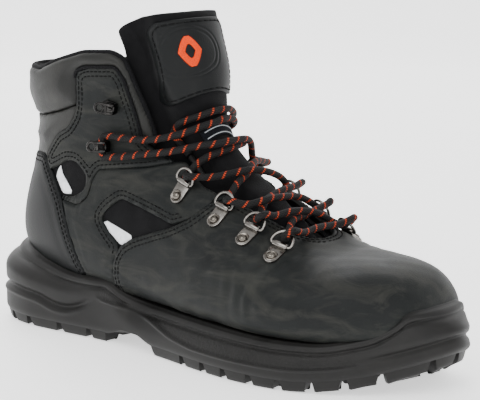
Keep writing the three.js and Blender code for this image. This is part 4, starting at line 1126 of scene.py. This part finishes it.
def extruded(outline, low, high, bevel):
    """Plate with bevelled edges from a flat outline of x and y, with no repeated end point."""
    outline = np.asarray(outline, float)
    before, after = np.roll(outline, 1, 0), np.roll(outline, -1, 0)
    into, out = unit(outline - before), unit(after - outline)
    side = np.stack([-(into + out)[:, 1], (into + out)[:, 0]], -1)
    side = 2 * side / np.maximum((side ** 2).sum(1, keepdims=True), 0.4)
    area = (outline[:, 0] * after[:, 1] - outline[:, 1] * after[:, 0]).sum()
    side *= np.sign(area)
    count = len(outline)
    layers = [(low, bevel), (low + bevel, 0), (high - bevel, 0), (high - 0.3 * bevel, 0.3 * bevel),
              (high, bevel)]
    points = []
    for z, inset in layers:
        flat = outline + side * inset
        points += [[x, y, z] for x, y in flat]
    faces = wrapped(len(layers), count)
    if area < 0:
        faces = [face[::-1] for face in faces]
    return points, faces


def ring_part():
    corner = 1.6
    wide, reach = RING_HALF_WIDTH, RING_REACH
    angle = np.linspace(-1, 1, 25) * math.pi / 2
    arch = np.stack([corner + (reach - corner) * np.cos(angle), wide * np.sin(angle)], -1)
    bend = np.linspace(0, 1, 7)[:, None]
    quadratic = lambda a, b, c: (1 - bend) ** 2 * a + 2 * bend * (1 - bend) * b + bend ** 2 * c
    upper = quadratic(np.array([corner, wide]), np.array([0, wide]), np.array([0, wide - corner]))
    lower = quadratic(np.array([0, corner - wide]), np.array([0, -wide]), np.array([corner, -wide]))
    loop = np.concatenate([arch, upper[1:], lower[:-1]])
    loop = respaced(np.concatenate([loop, loop[:1]]), 0.5)[:-1]
    line = np.stack([loop[:, 0], loop[:, 1], np.zeros(len(loop))], -1)
    points, faces = tube(line, RING_WIRE, 14, close=True)
    x, y, z = points.T
    c, s = math.cos(RING_TILT), math.sin(RING_TILT)
    turned = np.stack([c * x - s * z + RING_AXIS, y, s * x + c * z + PLATE_BASE + SLEEVE_RADIUS], -1)
    return turned, faces


def clip_part():
    """Riveted plate with a raised rim and a sleeve that wraps the bar of the ring."""
    end = 4.0
    angle = np.linspace(90, 270, 19) * DEG
    round_end = np.stack([end * np.cos(angle), end * np.sin(angle)], -1)
    outline = np.concatenate([[[RING_AXIS - 0.4, -4.3], [RING_AXIS - 0.4, 4.3]], round_end])
    plate = extruded(outline, PLATE_BASE - 0.9, PLATE_BASE + PLATE_THICKNESS, 0.35)
    share = np.array([0, 0.03, 0.06, 0.94, 0.97, 1])
    radius = SLEEVE_RADIUS * np.array([0.72, 0.92, 1, 1, 0.92, 0.72])
    across = np.stack([np.full(6, RING_AXIS), 8.6 * (share - 0.5),
                       np.full(6, PLATE_BASE + SLEEVE_RADIUS)], -1)
    sleeve = tube(across, radius, 24)
    seat = lathe([(0, 1.6), (3.5, 1.6), (3.55, 1.95), (3.25, 2.1), (3.0, 1.85), (0, 1.8)])
    return merged([plate, sleeve, seat])


def rivet_part():
    """Domed rivet head in a shallow dish."""
    base = PLATE_BASE + PLATE_THICKNESS + 0.2
    return lathe([(0, base - 0.6), (2.95, base - 0.6), (3.05, base), (2.9, base + 0.25), (2.5, base + 0.1),
                  (2.2, base - 0.05), (2.05, base + 0.3), (1.75, base + 0.85), (1.2, base + 1.2),
                  (0.6, base + 1.35), (0, base + 1.4)])


def hook_part():
    """Open hook: a foot with a rivet, a neck, and a lip of two arms that run back to a round eye."""
    angle = np.linspace(90, 270, 15) * DEG
    foot = np.concatenate([[[HOOK_NECK + 1.2, -2.6], [HOOK_NECK + 1.2, 2.6]],
                           np.stack([-2.2 + 3.3 * np.cos(angle), 3.3 * np.sin(angle)], -1)])
    parts = [extruded(foot, PLATE_BASE - 0.9, 1.7, 0.3)]
    parts.append(lathe([(0, 1.2), (2.0, 1.2), (2.0, 2.2), (1.7, 2.6), (0.9, 2.8), (0, 2.85)]))
    turn = np.arange(32) / 32 * 2 * math.pi
    eye = np.column_stack([-3.5 + 2.4 * np.cos(turn), 2.4 * np.sin(turn),
                           HOOK_LIP + 0.9 - 0.12 * np.cos(turn)])
    parts.append(tube(eye, 0.85, 12, close=True))
    for sign in (-1, 1):
        arm = np.array([[-3.5, 2.3, 7.45], [0.5, 2.3, 7.3], [2.4, 2.25, 7.15], [3.6, 2.2, 6.6],
                        [4.1, 2.2, 5.6], [4.15, 2.2, 3.4], [3.9, 2.2, 2.0], [2.6, 2.2, 1.2]])
        parts.append(tube(smooth_line(arm * [1, sign, 1], 0.4), 0.8, 12))
    bridge = extruded([[-0.9, -2.2], [-0.9, 2.2], [0.9, 2.2], [0.9, -2.2]], HOOK_LIP + 0.25,
                      HOOK_LIP + 1.15, 0.25)
    neck = extruded([[3.55, -2.2], [3.55, 2.2], [4.6, 2.2], [4.6, -2.2]], 1.4, 5.6, 0.3)
    return merged(parts + [bridge, neck])


def add_hardware():
    for number, (rivet, ring) in enumerate(RINGS, 1):
        for side, sign in SIDES:
            at = skin_frame((rivet[0], rivet[1] * sign * DEG), (ring[0], ring[1] * sign * DEG))
            tag = f"{side}_{number}"
            for label, part, node, body, metal_name in (
                    ("clip_plate", clip_part(), "ring_clip", "boot", "nickel"),
                    ("clip_rivet", rivet_part(), "ring_rivet", "boot", "rivet"),
                    ("lace_ring", ring_part(), "d_ring", f"d_ring_{tag}", "nickel")):
                piece = new_piece(f"{label}_{tag}", *placed(part, at), metal_name, body=body,
                                  slot="nickel")
                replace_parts(sharpen(piece, 35), f"{node}_{tag}")
    for number, (station, angle) in enumerate(HOOKS, 1):
        for side, sign in SIDES:
            ahead = (station - 0.35, (angle - 10) * sign * DEG)
            at = skin_frame((station, angle * sign * DEG), ahead)
            piece = new_piece(f"hook_{side}_{number}", *placed(hook_part(), at), "dark_chrome",
                              slot="dark_chrome")
            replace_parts(sharpen(piece, 35), f"speed_hook_{side}_{number}")


# ---------------------------------------------------------------- sole
SOLE_PLAN = [[152, 4], [147, 24], [128, 41], [98, 52], [60, 54], [30, 48], [0, 39], [-30, 33], [-60, 33],
             [-100, 38], [-130, 33], [-146, 18], [-152, 0], [-148, -18], [-135, -32], [-115, -38.5],
             [-90, -39],
             [-50, -38], [-10, -43], [30, -51], [60, -54], [90, -50.5], [118, -38], [140, -19]]
SOLE_TOP = [[FAR, 43], [141, 42], [137, 37], [129, 31], [108, 25], [81, 24], [-22, 25], [-37, 28], [-48, 35],
            [-74, 34], [-86, 35], [-120, 41], [-FAR, 47]]
TREAD = 10.0
LUG_HEIGHT = 6.0
SPRING_START = 85
LUG_LINES = [-128, -111, -86, -64, -48, -12, 16, 33, 50, 67, 84, 101, 117]
ARCH = (-48, -12)


def spring(x):
    """How far the tread has risen towards the toe."""
    return 14 * (np.maximum(np.asarray(x, float) - SPRING_START, 0) / 67) ** 2


def sole_top(x):
    line = rounded(SOLE_TOP[::-1], 8, 2, closed=False)
    return np.interp(x, line[:, 0], line[:, 1])


def closed_curve(corners, count):
    """Smooth closed curve through corners, evenly spaced."""
    corners = np.asarray(corners, float)
    place = np.linspace(0, len(corners), 60 * len(corners), endpoint=False)
    i = place.astype(int)
    s = (place - i)[:, None]
    p = [corners[(i + k) % len(corners)] for k in (-1, 0, 1, 2)]
    curve = 0.5 * (2 * p[1] + (p[2] - p[0]) * s + (2 * p[0] - 5 * p[1] + 4 * p[2] - p[3]) * s ** 2
                   + (3 * p[1] - 3 * p[2] + p[3] - p[0]) * s ** 3)
    curve = np.concatenate([curve, curve[:1]])
    lengths = np.concatenate([[0], np.cumsum(np.linalg.norm(np.diff(curve, axis=0), axis=1))])
    wanted = np.linspace(0, lengths[-1], count, endpoint=False)
    return np.stack([np.interp(wanted, lengths, curve[:, k]) for k in (0, 1)], -1)


def outward(plan):
    along = unit(np.roll(plan, -1, 0) - np.roll(plan, 1, 0))
    return np.stack([along[:, 1], -along[:, 0]], -1) * (1 if plan_turn(plan) > 0 else -1)


def plan_turn(plan):
    after = np.roll(plan, -1, 0)
    return (plan[:, 0] * after[:, 1] - plan[:, 1] * after[:, 0]).sum()


class SkinDistance:
    """How far a point is outside the skin of the upper."""

    def __init__(self):
        around = np.linspace(-math.pi, math.pi, 240, endpoint=False)
        station, angle = np.meshgrid(stations(0, 13), around, indexing="ij")
        self.points = skin(station, angle).reshape(-1, 3)
        self.normals = skin_normal(station, angle).reshape(-1, 3)
        self.tree = KDTree(len(self.points))
        for i, point in enumerate(self.points.tolist()):
            self.tree.insert(point, i)
        self.tree.balance()

    def __call__(self, points):
        nearest = np.array([self.tree.find(point)[1] for point in points.tolist()])
        return ((points - self.points[nearest]) * self.normals[nearest]).sum(1)


# Lines drawn in the side of the sole, as x and height over the tread.
HEEL_SWEEP = [[-152, 18.5], [-125, 18.5], [-101, 16.5], [-90, 13], [-79, 12.5], [-68, 15.5], [-58, 21],
              [-50, 27]]
RIDGE = [[-56, 24], [-51, 23], [-32, 21.4], [-13, 18], [7, 13.2], [27, 11.2], [63, 11], [152, 11]]


def height_of(line, x):
    smooth_points = rounded(line, 6, 1, closed=False)
    return np.interp(x, smooth_points[:, 0], smooth_points[:, 1])


def wall_relief(x, height, top):
    """How far the side of the sole stands out from its plan, at a height over the tread."""
    out = -2.4 * (1 - ease(height, 1, 9)) ** 1.5
    below_top = top - height
    out -= groove(below_top, 5.0, 1.0, 1.3)
    sweep = height - height_of(HEEL_SWEEP, x)
    heel = 1 - ease(x, -72, -56)
    out += heel * (0.9 * np.exp(-((sweep + 0.6) / 1.3) ** 2) - 1.9 * np.exp(-((sweep - 2.6) / 1.9) ** 2))
    out += heel * 0.7 * np.exp(-((below_top - 9.5) / 3.5) ** 2)
    ridge = height - height_of(RIDGE, x)
    fore = ease(x, -58, -48) * (1 - ease(x, 112, 132))
    out += fore * (0.9 * np.exp(-((ridge - 0.2) / 0.8) ** 2) - 0.8 * ease(ridge, 0.4, 2.4))
    toe = ease(x, 116, 136)
    out += toe * (1.0 * np.exp(-((height - 8) / 3.0) ** 2) - 1.3 * np.exp(-((height - 13.5) / 1.3) ** 2))
    out += toe * 0.6 * np.exp(-((height - 18) / 2.4) ** 2)
    return out


def ledge(plan, normal, distance, height, reach):
    """How far in from the plan the top edge of the wall stands, so that it is this near to the upper."""
    inset = np.zeros(len(plan))
    for _ in range(8):
        points = np.column_stack([plan - normal * inset[:, None], height])
        inset = np.maximum(inset + 0.8 * (distance(points) - reach), 0)
    for _ in range(12):
        inset = (np.roll(inset, 1) + 2 * inset + np.roll(inset, -1)) / 4
    return inset


def add_midsole():
    plan = closed_curve(SOLE_PLAN, 560)
    normal = outward(plan)
    low = TREAD + spring(plan[:, 0])
    high = sole_top(plan[:, 0])
    lean = ledge(plan, normal, SkinDistance(), high, 3.2)
    rings = [np.column_stack([plan * 0.35, low]), np.column_stack([plan - normal * 8, low])]
    for share in np.linspace(0, 1, 40):
        z = low + (high - 1.2 - low) * share
        out = wall_relief(plan[:, 0], z - spring(plan[:, 0]), high - spring(plan[:, 0]))
        out -= lean * ease(z, high - 15, high + 1) ** 1.3
        out -= edge_drop(np.maximum(high - z, 0), 3.0)
        rings.append(np.column_stack([plan + normal * out[:, None], z]))
    edge = lean + 1.8
    for share in np.linspace(0, 1, 6)[1:]:
        z = high - 1.2 * (1 - math.sin(share * math.pi / 2))
        rings.append(np.column_stack([plan - normal * (edge + 1.6 * share)[:, None], z]))
    rings.append(np.column_stack([plan - normal * (edge + 5.5)[:, None], high - 0.3]))
    points, faces = ring_stack(rings)
    midsole = new_piece("midsole_foam", points, faces, "rubber", slot="midsole_foam")
    midsole.data.materials.append(MATERIALS["rubber_pebbled"])
    centres = np.array([polygon.center[:] for polygon in midsole.data.polygons]) / MM
    pebbled = centres[:, 2] - spring(centres[:, 0]) > height_of(RIDGE, centres[:, 0]) + 0.8
    pebbled &= (centres[:, 0] > -54) & (centres[:, 0] < 122)
    pebbled &= centres[:, 2] < sole_top(centres[:, 0]) - 3.2
    midsole.data.polygons.foreach_set("material_index", pebbled.astype(int))
    sharpen(midsole, 50)
    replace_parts(midsole, "midsole")


def ring_stack(rings):
    """Faces between closed rings of points, one over another."""
    return np.concatenate(rings), wrapped(len(rings), len(rings[0]))


def add_outsole():
    plan = closed_curve(SOLE_PLAN, 560)
    normal = outward(plan)
    x = plan[:, 0]
    arch = ease(x, ARCH[0] - 2, ARCH[0] + 14) * (1 - ease(x, ARCH[1] - 12, ARCH[1] + 2))
    floor = LUG_HEIGHT - 0.8 + 3.8 * arch
    top = sole_top(x) - spring(x)
    rings = [np.column_stack([plan - normal * 5, spring(x) + floor])]
    for share in np.linspace(0, 1, 8):
        height = floor + (TREAD + 0.05 - floor) * share
        out = wall_relief(x, height, top) - 0.8 * (1 - share) ** 3
        rings.append(np.column_stack([plan + normal * out[:, None], spring(x) + height]))
    rings.append(np.column_stack([plan - normal * 6, spring(x) + TREAD + 0.05]))
    middle = plan * 0.3
    rings = [np.column_stack([middle, spring(middle[:, 0]) + floor])] + rings
    base = ring_stack(rings)
    parts = [base]
    for start, end in lug_spans(plan):
        parts.append(edge_lug(plan, normal, start, end))
    for start, end in zip(LUG_LINES[:-1], LUG_LINES[1:]):
        if end < ARCH[0] + 1 or start > ARCH[1] - 1:
            parts += inner_lugs(plan, start, end)
    outsole = new_piece("outsole_rubber", *merged(parts), "rubber", slot="rubber")
    sharpen(outsole, 35)
    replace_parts(outsole, "outsole")


def lug_spans(plan):
    """Stretches of the outline, as first and last point, that carry one lug each."""
    gaps = []
    x, y = plan.T
    for line in LUG_LINES:
        for sign in (-1, 1):
            near = np.flatnonzero((y * sign > 0) & (np.abs(x - line) < 6))
            if len(near):
                gaps.append(near[np.abs(x[near] - line).argmin()])
    for place in ((150, 9), (150, -8), (138, 33), (134, -29), (-151, 0), (-143, 24), (-143, -24)):
        gaps.append(np.hypot(x - place[0], y - place[1]).argmin())
    gaps = sorted(gaps)
    spans = []
    for start, end in zip(gaps, gaps[1:] + [gaps[0] + len(plan)]):
        middle = plan[((start + end) // 2) % len(plan)]
        if not ARCH[0] < middle[0] < ARCH[1]:
            spans.append((start + 1, end - 1))
    return spans


def edge_lug(plan, normal, start, end):
    """Lug along the edge of the sole, with a foot that is narrower than its root."""
    step = max((end - start) // 8, 1)
    index = np.array(list(range(start, end, step)) + [end]) % len(plan)
    out = normal[index]
    outer = plan[index] - out * 1.0
    deep = 12.0
    polygon = np.concatenate([outer, (outer - out * deep)[::-1]])
    return lug(polygon)


def inner_lugs(plan, start, end):
    """Pair of lugs on either side of the middle, with their fronts swept back."""
    parts = []
    gap = 2.0
    x, y = plan.T
    for sign in (-1, 1):
        near = (y * sign > 0) & (x > start) & (x < end)
        if not near.any():
            continue
        reach = np.abs(y[near]).min() - 17
        if reach < 9:
            continue
        parts.append(lug(np.array([[start + gap, 2.5 * sign], [end - gap, 2.5 * sign],
                                   [end - gap - 2.5, reach * sign], [start + gap - 2.5, reach * sign]])))
    return parts


def lug(polygon):
    """Block that tapers towards the ground, with a bevelled foot."""
    if plan_turn(polygon) < 0:
        polygon = polygon[::-1]
    into, out = unit(polygon - np.roll(polygon, 1, 0)), unit(np.roll(polygon, -1, 0) - polygon)
    side = np.stack([-(into + out)[:, 1], (into + out)[:, 0]], -1)
    side = 2 * side / np.maximum((side ** 2).sum(1, keepdims=True), 0.8)
    rings = []
    for z, inset in ((0, 3.2), (0, 2.3), (0.5, 1.7), (2.0, 1.1), (4.8, 0.4), (7.0, 0.0)):
        rings.append(np.column_stack([polygon + side * inset, z + spring(polygon[:, 0])]))
    return ring_stack(rings)


# ---------------------------------------------------------------- inside
def add_footbed():
    """Moulded insole that fills the bottom of the boot, a little dished."""
    profile = np.array([[-FAR, 37], [-90, 34], [-30, 31], [60, 30], [FAR, 33]], float)
    top_at = lambda x: np.interp(x, profile[:, 0], profile[:, 1])
    station, angle = np.meshgrid(stations(0, 12), FULL, indexing="ij")
    inner = on_skin(station, angle, np.full(station.shape, -LINING_IN - 0.3)).reshape(-1, 3)
    near = inner[np.abs(inner[:, 2] - top_at(inner[:, 0])) < 1.2]
    lines = np.linspace(near[:, 0].min() + 1.5, near[:, 0].max() - 1.5, 120)
    limits = []
    for x in lines:
        band = near[np.abs(near[:, 0] - x) < 3, 1]
        limits.append((band.min(), band.max()))
    limits = np.array(limits)
    kernel = np.ones(5) / 5
    for k in (0, 1):
        limits[2:-2, k] = np.convolve(limits[:, k], kernel, "valid")
    across = np.linspace(-1, 1, 33)
    middle, half = limits.mean(1)[:, None], (limits[:, 1] - limits[:, 0])[:, None] / 2
    y = middle + half * across
    x = np.broadcast_to(lines[:, None], y.shape)
    z = top_at(x) - 1.6 * (1 - across ** 4) * ease(x, -125, -100) + 0.8 * across ** 6
    z = z - edge_drop((1 - np.abs(across)) * 30, 1.2)
    top = np.stack([x, y, z], -1).reshape(-1, 3)
    bottom = top - [0, 0, 3.5]
    rows, columns = x.shape
    index, quads = grid_quads(rows, columns)
    rim = np.concatenate([index[:, 0], index[-1, 1:], index[-2::-1, -1], index[0, -2:0:-1]])
    faces = sheet_faces(quads[:, [0, 3, 2, 1]], np.stack([rim, np.roll(rim, -1)], -1), rows * columns)
    footbed = new_piece("footbed_textile", np.concatenate([top, bottom]), faces, "lining", slot="textile")
    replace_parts(footbed, "footbed")


def finish_hidden_nodes():
    """Pieces that only show when the boot is taken apart keep their shape and get real materials."""
    for node, material in (("steel_toe_cap", "steel"), ("shank", "steel"), ("heel_counter", "board"),
                           ("insole_board", "board")):
        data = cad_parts[node].data
        for i in range(max(len(data.materials), 1)):
            if data.materials:
                data.materials[i] = MATERIALS[material]
            else:
                data.materials.append(MATERIALS[material])


# ---------------------------------------------------------------- floor and light
def add_floor():
    m = Nodes("floor")
    mottle = m.noise(60, 3, 0.5)
    color = m.ramp(mottle, [(0.3, (0.93, 0.93, 0.93)), (0.7, (0.96, 0.96, 0.96))])
    m.bump([(mottle, 0.05, 0.1)])
    material = m.finish(color, 0.6, Emission_Color=(1, 1, 1, 1), Emission_Strength=1.0)
    points, faces = [], []
    profile = [(-3.0, -0.0004), (1.6, -0.0004)]
    for angle in np.linspace(0, 90, 12) * DEG:
        profile.append((1.6 + 0.8 * math.sin(angle), 0.8 - 0.8 * math.cos(angle) - 0.0004))
    profile.append((2.4, 4.0))
    forward = np.array([-math.sin(CAMERA_TURN), math.cos(CAMERA_TURN)])
    right = np.array([math.cos(CAMERA_TURN), math.sin(CAMERA_TURN)])
    for place, z in profile:
        for side in (-4.0, 4.0):
            x, y = forward * place + right * side
            points.append([x, y, z])
    for i in range(len(profile) - 1):
        faces.append([2 * i, 2 * i + 1, 2 * i + 3, 2 * i + 2])
    mesh = bpy.data.meshes.new("floor")
    mesh.from_pydata(points, [], faces)
    mesh.materials.append(material)
    mesh.polygons.foreach_set("use_smooth", np.full(len(mesh.polygons), True))
    floor = bpy.data.objects.new("floor", mesh)
    bpy.context.scene.collection.objects.link(floor)


def add_world():
    world = bpy.data.worlds.new("studio")
    world.use_nodes = True
    background = world.node_tree.nodes["Background"]
    background.inputs["Color"].default_value = (1, 1, 1, 1)
    background.inputs["Strength"].default_value = 1.1
    bpy.context.scene.world = world


add_camera()
add_lace()
add_upper()
add_tongue()
add_hardware()
add_midsole()
add_outsole()
add_footbed()
finish_hidden_nodes()
add_floor()
add_world()
add_light("key", (0.2, -1.6, 1.5), 1.4, 26)
add_light("fill", (1.6, -0.5, 0.9), 1.2, 10)
add_light("back", (-1.2, 0.9, 1.3), 1.0, 14)
